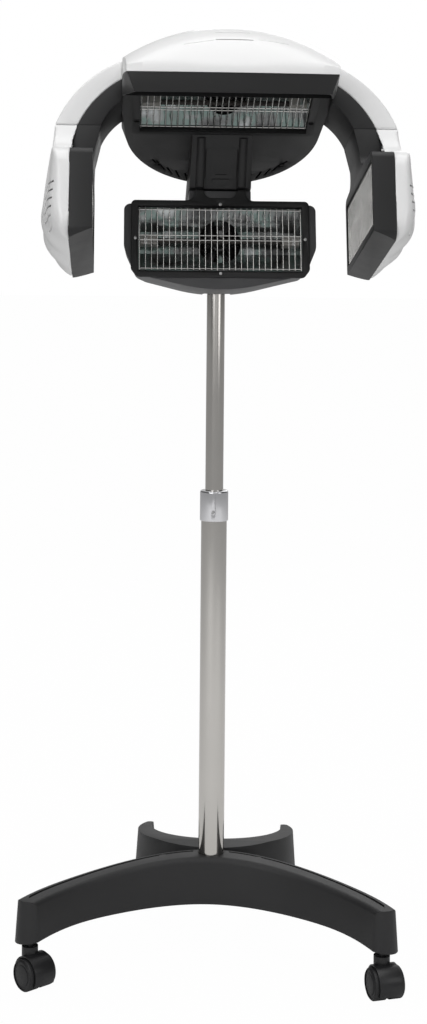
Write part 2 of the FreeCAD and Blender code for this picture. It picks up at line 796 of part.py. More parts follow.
LAMP_PLACES = {
    "top": placed(at(0, top_lamp_d, top_lamp_h), RIGHT, 90.0 - underside_slope),
    "nape": placed(at(0, nape_face_d, (nape_top + nape_foot) / 2), RIGHT, 0.0),
    "right": placed(at(side_face_x, (side_front_d + side_rear_d) / 2,
                                 side_lamp_h), UP, -90.0),
    "left": placed(at(-side_face_x, (side_front_d + side_rear_d) / 2,
                                side_lamp_h), UP, 90.0)}


def in_lamp(name, shape):
    return shape.transformed(LAMP_PLACES[name].toMatrix())


def lamp_mouth(height, depth):
    """Room for a lamp's inside: as wide as its grille, with a small margin."""
    half = lamp_width / 2 + lamp_margin
    return box(-half, half, -depth, 1.0, -height / 2 - lamp_margin, height / 2 + lamp_margin)


def make_lamps():
    for name in LAMP_PLACES:
        height = side_lamp_height if name in ("left", "right") else lamp_height
        keep_in_head(name + "_grille", in_lamp(name, lamp_grille(height)))
        keep_in_head(name + "_reflector", in_lamp(name, lamp_reflector(height)))
        keep_in_head(name + "_heater", *[in_lamp(name, s) for s in lamp_heater()])
        keep_in_head(name + "_fan", in_lamp(name, lamp_fan()))


# ================================================================ head body
def body_plan(inset):
    """Half round at the rear, nearly parallel sides and a bowed front, drawn in by the inset."""
    half = body_half_width - inset
    center = body_rear_center
    front = body_front - inset
    front_half = body_front_half - inset
    return Part.Wire([
        arc("plan", (-half, center), (0, center - half), (half, center)),
        line("plan", (half, center), (half, body_taper_d)),
        line("plan", (half, body_taper_d), (front_half, front)),
        arc("plan", (front_half, front), (0, front + body_front_bow), (-front_half, front)),
        line("plan", (-front_half, front), (-half, body_taper_d)),
        line("plan", (-half, body_taper_d), (-half, center))])


def below_split(drop):
    """Everything under the curve where the white cover meets the black housing."""
    points = [(d, h - drop) for d, h in split_line]
    wire = Part.Wire([spline("side", points), line("side", points[-1], (points[-1][0], -250.0)),
                      line("side", (points[-1][0], -250.0), (points[0][0], -250.0)),
                      line("side", (points[0][0], -250.0), points[0])])
    return raised("side", wire, -300.0, 300.0)


def dome(inset):
    wires = []
    for d, shoulder, crest in dome_sections:
        half = body_half_width - inset
        foot = dome_foot - 30.0
        side = shoulder - inset
        wires.append(Part.Wire([
            Part.LineSegment(at(-half, d, foot), at(-half, d, side)).toShape(),
            Part.Arc(at(-half, d, side), at(0, d, crest - inset), at(half, d, side)).toShape(),
            Part.LineSegment(at(half, d, side), at(half, d, foot)).toShape(),
            Part.LineSegment(at(half, d, foot), at(-half, d, foot)).toShape()]))
    return Part.makeLoft(wires, True, False)


def underside_h(d):
    return underside_rear_h + (d - 2.0) * math.tan(math.radians(underside_slope))


def make_top_cover():
    plan = raised("plan", body_plan(0.0), -50.0, 200.0)
    inner_plan = raised("plan", body_plan(wall), -50.0, 200.0)
    outer = dome(0.0).common(plan)
    inner = dome(wall).common(inner_plan)
    cover = outer.cut(inner).cut(below_split(0.0))
    slot = box(-slot_half_width, slot_half_width, slot_d, slot_d + slot_opening, 100.0, 160.0)
    cover = cover.cut(slot)
    return cover


def make_top_housing():
    low, high = -20.0, 60.0
    foot_inset = body_draft * (high - low) / high
    lower = drafted(body_plan, low, high, foot_inset, 0.0)
    upper = raised("plan", body_plan(0.0), high, 120.0)
    form = lower.fuse(upper).common(below_split(0.0))
    rear = body_rear_center - body_half_width - 10.0
    keep_profile = [(rear, underside_h(rear)), (visor_start, underside_h(visor_start)),
                    (visor_start, visor_split_h), (body_front + 20.0, rim_foot - rim_drop),
                    (body_front + 20.0, 140.0), (rear, 140.0)]
    form = form.common(prism("side", keep_profile, -200.0, 200.0))
    inner_plan = drafted(body_plan, low, high, foot_inset + wall, wall)
    inner_upper = raised("plan", body_plan(wall), high, 140.0)
    room_front = visor_start - visor_wall
    room_profile = [(rear, underside_h(rear) + wall), (room_front, underside_h(room_front) + wall),
                    (room_front, 140.0), (rear, 140.0)]
    room = inner_plan.fuse(inner_upper).common(prism("side", room_profile, -200.0, 200.0))
    front = body_front - rim_thickness
    ceiling = [(d, h - visor_ceiling_web) for d, h in visor_ceiling]
    visor = [(visor_start + visor_wall, -40.0), (visor_start + visor_wall, ceiling[0][1]),
             *ceiling[1:-1], (front, ceiling[-1][1]), (front, -40.0)]
    visor_room = inner_plan.fuse(inner_upper).common(prism("side", visor, -200.0, 200.0))
    return form, room, visor_room


def top_frame(extra):
    """Raised frame round the top lamp, grown all round by the extra."""
    half_w = lamp_width / 2 + lamp_margin + top_frame_side + extra
    half_h = lamp_height / 2 + lamp_margin + top_frame_end + extra
    return prism("front", [(-half_w, -half_h, top_frame_corner), (half_w, -half_h, top_frame_corner),
                           (half_w, half_h, top_frame_corner), (-half_w, half_h, top_frame_corner)],
                 -top_frame_depth, top_frame_height + extra)


def underside_slots():
    """Slanted cooling slots on both sides of the round rear edge."""
    slots = []
    for side in (-1, 1):
        for i in range(slot_count):
            angle = math.radians(slot_first_angle + slot_step_angle * i)
            radius = body_half_width - slot_rim_inset
            x = side * radius * math.sin(angle)
            d = body_rear_center - radius * math.cos(angle)
            slot = box(-slot_half_thickness, slot_half_thickness, -slot_half_length, slot_half_length,
                       -20.0, 30.0)
            slot.rotate(V(0, 0, 0), UP, side * math.degrees(angle) * slot_lean)
            slot.translate(at(x, d, underside_h(d)))
            slots.append(slot)
    return slots


def underside_point(x, d):
    return at(x, d, underside_h(d))


slant = math.radians(underside_slope)
DOWN = at(0, math.sin(slant), -math.cos(slant))


def make_head_body():
    housing, room, visor_room = make_top_housing()
    housing = housing.cut(room).cut(visor_room)
    housing = housing.fuse(in_lamp("top", top_frame(0.0)))
    housing = housing.cut(in_lamp("top", lamp_mouth(lamp_height, 20.0).translated(at(0, 4.0, 0))))
    for slot in underside_slots():
        housing = housing.cut(slot)
    screws = []
    for x, d in head_screw_places:
        base = underside_point(x, d)
        seat = base - DOWN * head_screw_sink
        tip = base - DOWN * head_screw_length
        housing = housing.cut(rod(head_screw_radius + gap, seat, DOWN, 6.0))
        housing = housing.cut(rod(head_screw_shank + running_clearance, tip - DOWN, DOWN, 14.0))
        shank = rod(head_screw_shank, tip, DOWN, head_screw_length - 1.0)
        screws.append(rod(head_screw_radius, seat, DOWN, 2.0).fuse(shank))
    cover = make_top_cover()
    return housing, cover, screws


def make_panel(cover, housing):
    """Operator's panel on the rear slope, with three buttons, and the mains inlet below it."""
    place = placed(at(0, panel_d, panel_h), RIGHT, -panel_pitch)

    def on_panel(shape):
        return shape.transformed(place.toMatrix())

    def rounded(x, d, low, high, radius):
        return prism("plan", [(-x, -d, radius), (x, -d, radius), (x, d, radius), (-x, d, radius)], low, high)
    plate = rounded(panel_half_width, panel_half_depth, panel_low, panel_high, panel_corner)
    plate = plate.cut(box(-window_half_width, window_half_width, window_d[0], window_d[1],
                          panel_high - window_depth, panel_high + 5.0))
    opening = rounded(panel_half_width + gap, panel_half_depth + gap, panel_low - 5.0, 40.0,
                      panel_corner + gap)
    seat = panel_high - panel_button_seat
    for name, x in zip(("button_minus", "button_start", "button_plus"), panel_button_x):
        hole = rod(panel_button_radius + gap, at(x, panel_button_d, seat - 3.0), UP, 20.0)
        plate = plate.cut(hole)
        button = rod(panel_button_radius, at(x, panel_button_d, seat), UP, panel_button_height)
        keep_in_head(name, on_panel(button))
    keep_in_head("control_panel", on_panel(plate))
    cover = cover.cut(on_panel(opening))
    inlet_d = body_rear_center - body_half_width
    half = inlet_half_width
    block = box(-half, half, inlet_d - 1.0, inlet_d + inlet_depth, inlet_low, inlet_high)
    socket = box(inlet_wall - half, half - inlet_wall, inlet_d - 2.0, inlet_d + inlet_depth - 8.0,
                 inlet_low + inlet_wall, inlet_high - inlet_wall)
    keep_in_head("power_inlet", block.cut(socket))
    around = box(-half - seat_clearance, half + seat_clearance, inlet_d - 5.0, inlet_d + inlet_depth,
                 inlet_low - seat_clearance, inlet_high + seat_clearance)
    return cover.cut(around), housing.cut(around)


def pole_channel(extra, low, high):
    """Slot that is open to the rear and round in its front corners, where the column passes."""
    half = pole_slot_half + extra
    front = pole_slot_front + extra
    corner = pole_slot_corner + extra
    rear = neck_rear_d - 20.0
    return prism("plan", [(-half, rear), (half, rear), (half, front, corner), (-half, front, corner)],
                 low, high)


neck_slant = math.degrees(math.atan2(neck_top_d - seam_d, underside_h(neck_top_d) - seam_h))
neck_face = placed(at(0, seam_d, seam_h), RIGHT, neck_slant)


def on_neck_face(shape):
    """Moves a shape drawn on an upright plane at d = 0 onto the neck's slanted front."""
    return shape.transformed(neck_face.toMatrix())


def latch_button():
    disc = rod(button_radius, at(0, -recess_depth - button_travel, button_center), AHEAD,
               recess_depth + button_travel - 1.0)
    return disc.common(box(-30, 30, -30, 30, -30, button_center))


def make_neck():
    """Neck under the rear of the head: a channel for the pole and a latch in its front."""
    rear_h = underside_h(neck_rear_d) - seat_clearance
    front_h = underside_h(neck_top_d) - seat_clearance
    neck = prism("side", [(neck_rear_d, seam_h), (neck_rear_d, rear_h), (neck_top_d, front_h),
                          (seam_d, seam_h)], -neck_half_width, neck_half_width)
    for side in (-1, 1):
        neck = neck.cut(prism("plan", [(side * neck_plate_half, 400.0), (side * 80.0, 400.0),
                                       (side * 80.0, 40.0), (side * neck_half_width, 40.0)],
                              -60.0, 80.0))
    ribs = [rod(rib_radius, at(side * rib_x, -rib_sink, rib_foot), UP, rib_length) for side in (-1, 1)]
    below = prism("side", [(0.0, seam_h), (0.0, underside_h(0.0) - seat_clearance),
                           (220.0, underside_h(220.0) - seat_clearance), (220.0, seam_h)], -60.0, 60.0)
    neck = neck.fuse([on_neck_face(rib).common(below) for rib in ribs])
    neck = neck.cut(in_lamp("top", top_frame(gap)))
    neck = neck.cut(pole_channel(0.0, -80.0, 60.0))
    recess = prism("front", [(-recess_half, -10.0), (recess_half, -10.0),
                             (recess_half, recess_top, 4.0), (-recess_half, recess_top, 4.0)],
                   -recess_depth, 40.0)
    neck = neck.cut(on_neck_face(recess))
    door = prism("front", [(-door_half, button_center + gap), (door_half, button_center + gap),
                           (door_half, recess_top - 1.0, 3.0), (-door_half, recess_top - 1.0, 3.0)],
                 seat_clearance - recess_depth, door_thickness - recess_depth)
    grip_low = button_center + grip_offset
    grip = prism("front", [(-grip_half_width, grip_low, 2.0), (grip_half_width, grip_low, 2.0),
                           (grip_half_width, grip_low + grip_height, 2.0),
                           (-grip_half_width, grip_low + grip_height, 2.0)],
                 door_thickness - recess_depth - grip_depth, 10.0)
    keep_in_head("latch_door", on_neck_face(door.cut(grip)))
    keep_in_head("latch_button", on_neck_face(latch_button()))
    pocket = rod(button_radius + gap, at(0, -recess_depth - 2 * button_travel - gap, button_center),
                 AHEAD, recess_depth + 2 * button_travel)
    neck = neck.cut(on_neck_face(pocket.common(box(-30, 30, -30, 30, -30, button_center + gap))))
    lugs = []
    for side in (-1, 1):
        x0, x1 = sorted((side * (lug_x - lug_half), side * (lug_x + lug_half)))
        lug = rod(lug_radius, at(x0, hinge_d, hinge_h), RIGHT, x1 - x0)
        lugs.append(lug.fuse(box(x0, x1, hinge_d - 5.0, hinge_d + 5.0, hinge_h, seam_h + 2.0)))
    neck = neck.fuse(lugs)
    neck = neck.cut(rod(nape_pin_radius + running_clearance, at(-60, hinge_d, hinge_h), RIGHT, 120))
    reach = neck_half_width - 1.0
    neck = neck.cut(rod(tilt_pin_radius + seat_clearance, at(-reach, pivot_d, pivot_h), RIGHT, 2 * reach))
    keep_in_head("neck_housing", neck.removeSplitter())


# ================================================================ nape lamp
def nape_outline(inset):
    """Square shoulders, drawn-in lower corners and a broad round foot, drawn in by the inset."""
    half = nape_housing_half - inset
    top = nape_top - nape_top_drop - inset
    corner_h = nape_corner_h + inset
    foot = nape_belly_h + inset
    corner_x = half - nape_corner_inset
    return [(-half, top, 10.0), (half, top, 10.0), (half, nape_waist_h, 30.0),
            (corner_x, corner_h, 14.0), (0.0, foot, nape_belly_radius), (-corner_x, corner_h, 14.0),
            (-half, nape_waist_h, 30.0)]


def nape_loft(inset, front, rear):
    wires = []
    for d, extra in ((front, 0.0), (nape_waist_d, nape_waist_draft), (rear, nape_rear_draft)):
        wire = outline("front", nape_outline(inset + extra))
        wire.translate(AHEAD * d)
        wires.append(wire)
    return Part.makeLoft(wires, True, True)


def make_nape_lamp():
    back = nape_face_d - nape_plate_thickness
    body = nape_loft(0.0, back - seat_clearance, nape_rear_d)
    stub = box(-neck_half_width, neck_half_width, 26.0, back - seat_clearance, nape_top - 20.0,
               seam_h - nape_seam_gap)
    body = body.fuse(stub)
    room = nape_loft(wall, back - seat_clearance - wall, nape_rear_d + wall)
    room = room.cut(pole_channel(wall, -200.0, 20.0))
    body = body.cut(room)
    body = body.cut(pole_channel(0.0, -200.0, 20.0))
    for side in (-1, 1):
        body = body.cut(prism("plan", [(side * neck_plate_half, 400.0), (side * 80.0, 400.0),
                                       (side * 80.0, 40.0), (side * neck_half_width, 40.0)],
                              nape_top - 3.0, 0.0))
        x0, x1 = sorted((side * (lug_x - lug_half - gap), side * (lug_x + lug_half + gap)))
        body = body.cut(box(x0, x1, hinge_d - lug_radius - 2.0, back, hinge_h - lug_radius - 1.0, 0.0))
    pins = []
    for side in (-1, 1):
        x0, x1 = sorted((side * (lug_x - pin_half), side * (lug_x + pin_half)))
        pins.append(rod(nape_pin_radius, at(x0, hinge_d, hinge_h), RIGHT, x1 - x0))
        body = body.cut(rod(nape_pin_radius + seat_clearance, at(x0, hinge_d, hinge_h), RIGHT, x1 - x0))
    plate = prism("front", [(-nape_half_width, nape_top, 7.0), (-neck_plate_half, nape_top, neck_flare),
                            (-neck_plate_half, seam_h - nape_seam_gap),
                            (neck_plate_half, seam_h - nape_seam_gap), (neck_plate_half, nape_top, neck_flare),
                            (nape_half_width, nape_top, 7.0), (nape_half_width, nape_foot + 12.0, 9.0),
                            (nape_half_width - 9.0, nape_foot, 9.0),
                            (9.0 - nape_half_width, nape_foot, 9.0),
                            (-nape_half_width, nape_foot + 12.0, 9.0)], back, nape_face_d)
    recess = prism("front", [(-recess_half, 0.0), (recess_half, 0.0), (recess_half, -35.0, 12.0),
                             (-recess_half, -35.0, 12.0)], back - 2.0, nape_face_d + 1.0)
    plate = plate.cut(recess)
    plate = plate.cut(in_lamp("nape", lamp_mouth(lamp_height, 20.0)))
    body = body.cut(in_lamp("nape", lamp_mouth(lamp_height, 20.0)))
    middle = (nape_top + nape_foot) / 2
    screws = []
    across, up = nape_screw_spread
    for x, h in ((0.0, middle + up), (0.0, middle - up), (-across, middle), (across, middle)):
        screws.append(rod(nape_screw_radius, at(x, back - 4.0, h), AHEAD, nape_plate_thickness + 3.0))
        hole = rod(nape_screw_radius + seat_clearance, at(x, back - 4.0, h), AHEAD, 20.0)
        plate = plate.cut(hole)
        body = body.cut(hole)
    front = box(-200.0, 200.0, pole_slot_front, 200.0, -250.0, 50.0)
    covers = [body.common(box(*sorted((0.0, side * 200.0)), -200.0, pole_slot_front, -250.0, 50.0))
              for side in (-1, 1)]
    keep_in_head("nape_housing", body.common(front), *covers)
    keep_in_head("nape_plate", plate)
    keep_in_head("nape_hinge_pins", *pins)
    keep_in_head("nape_screws", *screws)


# ================================================================ arms and side lamps
def arm_band(outer, inner):
    """Part of the headband arm between two arcs that run down to the seam."""
    edges = [arc("front", *outer), line("front", outer[2], inner[2]),
             arc("front", inner[2], inner[1], inner[0]), line("front", inner[0], outer[0])]
    return raised("front", Part.Wire(edges), arm_rear_d, arm_front_d)


def side_outline(inset):
    """Paddle with a neck, as seen from the side."""
    top = side_top_h - inset
    return [(arm_rear_d + inset, arm_seam_h - seam_gap), (arm_front_d - inset, arm_seam_h - seam_gap),
            (arm_front_d - inset, top + 5.0, 20.0), (side_front_d - inset, top, 10.0),
            (side_front_d - inset, side_foot_h + inset, 14.0), (side_rear_d + inset, side_foot_h + inset, 16.0),
            (side_rear_d + inset, top, 12.0), (arm_rear_d + inset, top + 5.0, 20.0)]


def shell_outline(inset):
    """The white shell flares from the arm into the lamp without a ledge."""
    top = side_top_h - inset
    rise = side_top_h + 24.0
    radius = shell_flare_radius
    return [(arm_rear_d + inset, arm_seam_h - seam_gap), (arm_front_d - inset, arm_seam_h - seam_gap),
            (shell_flare_d - inset, rise - inset, radius + inset), (side_front_d - inset, top, 30.0 - inset),
            (side_front_d - inset, side_foot_h + inset, 30.0 - inset),
            (side_rear_d + inset, side_foot_h + inset, 30.0 - inset), (side_rear_d + inset, top, 26.0 - inset),
            (shell_rear_flare_d + inset, rise - inset, 30.0 + inset)]


def shell_section(d, draw, inset):
    """The shell's outer curve in front view, drawn in towards the lamp's ends."""
    top = (arm_outer[2][0] - inset, arm_seam_h)
    side = (shell_side_x - draw - inset, side_lamp_h)
    foot = (side_joint_x + 1.0, side_foot_h + inset)
    upper = (shell_upper[0] - 0.6 * draw - inset, shell_upper[1])
    lower = (shell_lower[0] - 0.8 * draw - 0.8 * inset, shell_lower[1] + 0.6 * inset)
    wire = Part.Wire([arc("front", top, upper, side), arc("front", side, lower, foot),
                      line("front", foot, (shell_back_x, foot[1])),
                      line("front", (shell_back_x, foot[1]), (shell_back_x, arm_seam_h)),
                      line("front", (shell_back_x, arm_seam_h), top)])
    wire.translate(AHEAD * d)
    return wire


def shell_form(inset):
    """Pillow between the arm and the lamp's foot, round at both ends and flush with the black half."""
    sections = [shell_section(d, draw, inset) for d, draw in shell_sections]
    form = Part.makeLoft(sections, True, False)
    form = form.common(prism("side", shell_outline(inset), shell_back_x, 300.0))
    joint = [(arm_middle[2][0], arm_seam_h), (side_joint_x - 1.0, -3.0), (side_joint_x, side_top_h),
             (side_joint_x, side_foot_h), (300.0, side_foot_h), (300.0, arm_seam_h)]
    return form.common(prism("front", joint, 60.0, 380.0))


def make_side_lamp():
    shell = shell_form(0.0).cut(shell_form(wall))
    seam = arm_seam_h - seam_gap
    housing = prism("side", side_outline(0.0), 100.0, side_joint_x)
    black = [(arm_inner[2][0], seam), (arm_middle[2][0], seam), (side_joint_x - 1.0, -3.0),
             (side_joint_x, side_top_h), (side_joint_x, side_foot_h), (side_face_x, side_inner_foot_h),
             (side_face_x, side_top_h), (arm_inner[2][0] + 8.0, -14.0)]
    housing = housing.common(prism("front", black, 60.0, 380.0))
    room = [(side_face_x + wall, side_top_h - wall), (side_face_x + wall, side_inner_foot_h + wall),
            (side_joint_x + 1.0, side_foot_h + wall), (side_joint_x + 1.0, side_top_h - wall)]
    hollow = prism("side", side_outline(wall), 100.0, side_joint_x + 1.0)
    housing = housing.cut(hollow.common(prism("front", room, 60.0, 380.0)))
    mouth = in_lamp("right", lamp_mouth(side_lamp_height, 12.0))
    housing = housing.cut(mouth)
    spigot = rod(swivel_radius, at(swivel_x, swivel_d, seam - 1.0), UP, swivel_depth)
    housing = housing.fuse(spigot)
    vents = []
    for i in range(vent_count):
        vent = box(side_joint_x + 5.0, shell_side_x + 12.0, -vent_half_length, vent_half_length,
                   -vent_half_thickness, vent_half_thickness)
        vent.rotate(V(0, 0, 0), RIGHT, vent_lean)
        vent.translate(at(0, vent_d, vent_top_h - vent_pitch * i))
        vents.append(vent)
    shell = shell.cut(vents[0].fuse(vents[1:]))
    return shell, housing


def make_arms():
    cover = arm_band(arm_outer, arm_middle)
    liner = arm_band(arm_middle, arm_inner)
    liner = liner.cut(rod(swivel_radius + running_clearance, at(swivel_x, swivel_d, arm_seam_h - 1.0), UP,
                          swivel_depth + 1.0))
    shell, housing = make_side_lamp()
    for name, solid in (("arm_cover", cover), ("arm_liner", liner), ("shell", shell),
                        ("housing", housing)):
        keep_in_head("right_" + name, solid)
        keep_in_head("left_" + name, mirrored(solid))


def main():
    make_base()
    make_casters()
    make_column()
    make_yoke()
    make_lamps()
    housing, cover, screws = make_head_body()
    cover, housing = make_panel(cover, housing)
    keep_in_head("top_cover", cover)
    keep_in_head("top_housing", housing)
    keep_in_head("head_screws", *screws)
    make_neck()
    make_nape_lamp()
    make_arms()
    os.makedirs("parts", exist_ok=True)
    for name, shape in nodes.items():
        shape.exportStep("parts/" + name + ".step")
        print(name, len(shape.Solids), round(shape.Volume / 1000, 1), shape.isValid())


main()
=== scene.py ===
"""Looks of the infrared hair processor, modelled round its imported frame.

Sizes in the settings are millimetres; the meshes are in metres, in the frame's own axes.
"""
import json
import math

import bmesh
import bpy
from mathutils import Matrix, Vector

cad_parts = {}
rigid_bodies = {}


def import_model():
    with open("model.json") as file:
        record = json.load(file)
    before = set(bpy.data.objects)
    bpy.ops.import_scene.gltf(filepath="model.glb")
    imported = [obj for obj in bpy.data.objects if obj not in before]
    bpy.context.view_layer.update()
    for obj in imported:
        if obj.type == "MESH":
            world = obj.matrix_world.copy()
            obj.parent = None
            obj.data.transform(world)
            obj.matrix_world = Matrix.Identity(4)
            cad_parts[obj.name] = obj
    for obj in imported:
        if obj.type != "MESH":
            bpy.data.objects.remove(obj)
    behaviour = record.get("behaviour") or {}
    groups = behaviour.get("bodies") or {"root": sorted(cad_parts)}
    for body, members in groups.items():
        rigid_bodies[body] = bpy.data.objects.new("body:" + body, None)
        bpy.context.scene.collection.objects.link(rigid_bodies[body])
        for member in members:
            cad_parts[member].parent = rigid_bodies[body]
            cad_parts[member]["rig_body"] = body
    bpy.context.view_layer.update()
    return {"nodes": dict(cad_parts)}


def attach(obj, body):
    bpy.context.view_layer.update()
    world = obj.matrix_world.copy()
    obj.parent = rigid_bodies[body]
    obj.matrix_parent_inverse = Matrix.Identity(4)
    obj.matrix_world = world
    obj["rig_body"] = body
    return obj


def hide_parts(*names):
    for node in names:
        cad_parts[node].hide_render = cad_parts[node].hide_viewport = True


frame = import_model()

bl_info = {
    "name": "Hair Processor Looks",
    "version": (1, 0, 0),
    "blender": (4, 5, 0),
    "location": "View3D > Sidebar > Hair Processor",
    "description": "Models the shells, lamps, column and casters of an infrared hair processor",
    "category": "Object",
}

MM = 0.001
SLOTS = {name: node.data.materials[0].name.split(".")[0] for name, node in frame["nodes"].items()}

HEAD = (Matrix.Translation((0, 0, 1.18)) @ Matrix.Rotation(math.radians(6.2), 4, "Z")
        @ Matrix.Rotation(math.radians(-13.0), 4, "X"))


def in_head(x, y, z, degrees=0.0, axis="X"):
    """Place in the head's own axes: x across, -y to the client, z up, in millimetres."""
    return (HEAD @ Matrix.Translation((x * MM, y * MM, z * MM))
            @ Matrix.Rotation(math.radians(degrees), 4, axis))


LAMPS = {"top": (in_head(0, -199.0, 61.0, 75.3), 97.0), "nape": (in_head(0, -80.0, -98.5), 97.0),
         "right": (in_head(189.0, -221.0, -98.0, -90.0, "Z"), 88.0),
         "left": (in_head(-189.0, -221.0, -98.0, 90.0, "Z"), 88.0)}
LAMP_WIDTH = 243.0 * MM
UNDERSIDE = math.radians(14.7)
CASTERS = {"front_left": (-258.0, 163.0, 45.0), "front_right": (258.0, 163.0, 19.0),
           "rear_left": (-116.0, -176.0, 150.0), "rear_right": (116.0, -176.0, 200.0)}


# Recessed lines of the cover's brow: place across, forward and up, lean, turn, size.
BROW_SLOPE = 54.4
BROW_LINES = ((2.0, 367.4, 107.4, 0.0, 0.0, (52.0, 2.2, 3.6)),
              (-46.7, 369.1, 102.8, -5.7, 9.0, (42.0, 0.9, 2.4)),
              (56.0, 365.5, 106.1, 6.3, -5.0, (42.0, 0.9, 2.4)))

# The side shells outside their seam with the inner housing, and how far the bulge beyond it
# is drawn in at each height of the head.
SHELL_SEAM = 220.0
SHELL_BULGE = 48.0
SHELL_WAIST = ((22.0, 0.0), (4.0, 0.12), (-15.0, 0.21), (-60.0, 0.20), (-103.0, 0.18),
               (-120.0, 0.12), (-135.0, 0.06), (-150.0, 0.0))

# Cooling vents of a side shell: inner ends from the top one down, and what they share.
VENT_INNER_ENDS = (240.7, 241.9, 243.0, 244.0, 244.5, 243.0, 239.5)
VENT_OUTER_END = 272.0
VENT_FORWARD = 319.0
VENT_LENGTH = 62.0
VENT_OPENING = 2.8
VENT_TOP = -89.5
VENT_PITCH = 11.2


# ================================================================ settings
def tint(name, description, value):
    return bpy.props.FloatVectorProperty(name=name, description=description, default=value,
                                         size=3, min=0.0, max=1.0, subtype="COLOR")


def length(name, description, value):
    return bpy.props.FloatProperty(name=name, description=description, default=value * MM,
                                   min=0.0, unit="LENGTH", subtype="DISTANCE")


class ProcessorColours(bpy.types.PropertyGroup):
    """Colours of the finishes."""
    shell: tint("Shell", "Glossy white of the outer shells", (0.86, 0.86, 0.86))
    black: tint("Black plastic", "Fine grained black of the inner housings", (0.0115, 0.0115, 0.012))
    base: tint("Base plastic", "Charcoal of the moulded legs", (0.020, 0.020, 0.021))
    caster: tint("Caster plastic", "Black of hoods and wheels", (0.010, 0.010, 0.011))
    steel: tint("Polished steel", "Tint of the column tubes", (0.66, 0.64, 0.61))
    chrome: tint("Chrome", "Tint of the collar", (0.80, 0.80, 0.82))
    wire: tint("Grille wire", "Tint of the nickel plated wires", (0.80, 0.79, 0.77))
    # The reflector's tint is set dark as painted reflection: the bright sheet is given the dark of what
    # it mirrors.
    mirror: tint("Reflector", "Tint of the bright reflector sheet", (0.20, 0.205, 0.205))
    ceramic: tint("Ceramic", "White of the heater ends", (0.34, 0.33, 0.31))
    quartz: tint("Quartz", "Smoky tint of the heater tube", (0.060, 0.054, 0.050))
    floor: tint("Floor", "Pale studio floor", (0.90, 0.90, 0.90))


class ProcessorSizes(bpy.types.PropertyGroup):
    """Sizes of what is modelled here."""
    wire: length("Wire radius", "Radius of a grille wire", 0.85)
    filament: length("Filament pitch", "Pitch of the heating coil in its tube", 3.2)


class ProcessorStage(bpy.types.PropertyGroup):
    """Camera settings."""
    distance: length("Camera distance", "From the column's axis to the camera", 2600.0)
    height: length("Camera height", "Height of the level camera", 1040.0)
    azimuth: bpy.props.FloatProperty(name="Camera azimuth", description="Turn of the view to +X",
                                     default=math.radians(2.7), subtype="ANGLE")
    roll: bpy.props.FloatProperty(name="Camera roll", description="Lean of the picture",
                                  default=math.radians(0.5), subtype="ANGLE")
    lens: bpy.props.FloatProperty(name="Lens", description="Focal length for a 36 mm long side",
                                  default=58.5, min=1.0, unit="CAMERA")
    rise: bpy.props.FloatProperty(name="Shift Y", description="Share of the long side",
                                  default=-0.2266)
    aside: bpy.props.FloatProperty(name="Shift X", description="Share of the long side",
                                   default=-0.0025)


# ================================================================ modelling helpers
def add(kind, **options):
    """Adds one primitive, with nothing else selected."""
    bpy.ops.object.select_all(action="DESELECT")
    getattr(bpy.ops.mesh, "primitive_" + kind + "_add")(**options)
    return bpy.context.object


def take(piece):
    bpy.ops.object.select_all(action="DESELECT")
    piece.select_set(True)
    bpy.context.view_layer.objects.active = piece


def pick(piece, test, kind="faces"):
    """Enters edit mode with only the faces, edges or vertices that pass the test selected."""
    take(piece)
    bpy.ops.object.mode_set(mode="EDIT")
    modes = {"faces": "FACE", "edges": "EDGE", "verts": "VERT"}
    bpy.ops.mesh.select_mode(type=modes[kind])
    bpy.ops.mesh.select_all(action="DESELECT")
    cage = bmesh.from_edit_mesh(piece.data)
    for item in getattr(cage, kind):
        item.select_set(bool(test(item)))
    cage.select_flush_mode()
    bmesh.update_edit_mesh(piece.data)


def done():
    bpy.ops.object.mode_set(mode="OBJECT")


def modify(piece, kind, **values):
    """Adds one modifier and applies it."""
    take(piece)
    modifier = piece.modifiers.new(kind.title(), kind)
    for key, value in values.items():
        setattr(modifier, key, value)
    bpy.ops.object.modifier_apply(modifier=modifier.name)


def round_edges(piece, width, angle=35.0, segments=3):
    modify(piece, "BEVEL", width=width, segments=segments, limit_method="ANGLE",
           angle_limit=math.radians(angle), use_clamp_overlap=True, miter_outer="MITER_ARC")


def smooth(piece, angle=40.0):
    take(piece)
    bpy.ops.object.shade_smooth_by_angle(angle=math.radians(angle), keep_sharp_edges=False)


def settle(piece, place=None):
    """Applies where the piece stands, so that its object ends at the origin, unturned."""
    take(piece)
    bpy.ops.object.transform_apply(location=True, rotation=True, scale=True)
    if place is not None:
        piece.matrix_world = place
        bpy.ops.object.transform_apply(location=True, rotation=True, scale=True)


def joined(name, pieces):
    take(pieces[0])
    for piece in pieces[1:]:
        piece.select_set(True)
    if len(pieces) > 1:
        bpy.ops.object.join()
    piece = bpy.context.object
    piece.name = name
    piece.data.name = name
    return piece


def copy_of(node, name):
    """The node's own form as a new piece, with its loose triangles merged into clean faces."""
    source = frame["nodes"][node]
    piece = bpy.data.objects.new(name, source.data.copy())
    bpy.context.scene.collection.objects.link(piece)
    take(piece)
    bpy.ops.mesh.customdata_custom_splitnormals_clear()
    pick(piece, lambda face: True)
    bpy.ops.mesh.remove_doubles(threshold=0.004 * MM)
    done()
    return piece


def soften(piece, test, voxel, times):
    """Turns a piece into an even skin and rounds it where the test on its vertices holds."""
    modify(piece, "REMESH", mode="VOXEL", voxel_size=voxel)
    pick(piece, test, "verts")
    group = piece.vertex_groups.new(name="soft")
    bpy.ops.object.vertex_group_assign()
    done()
    modify(piece, "SMOOTH", factor=0.5, iterations=times, vertex_group=group.name)
    take(piece)
    bpy.ops.object.shade_smooth()


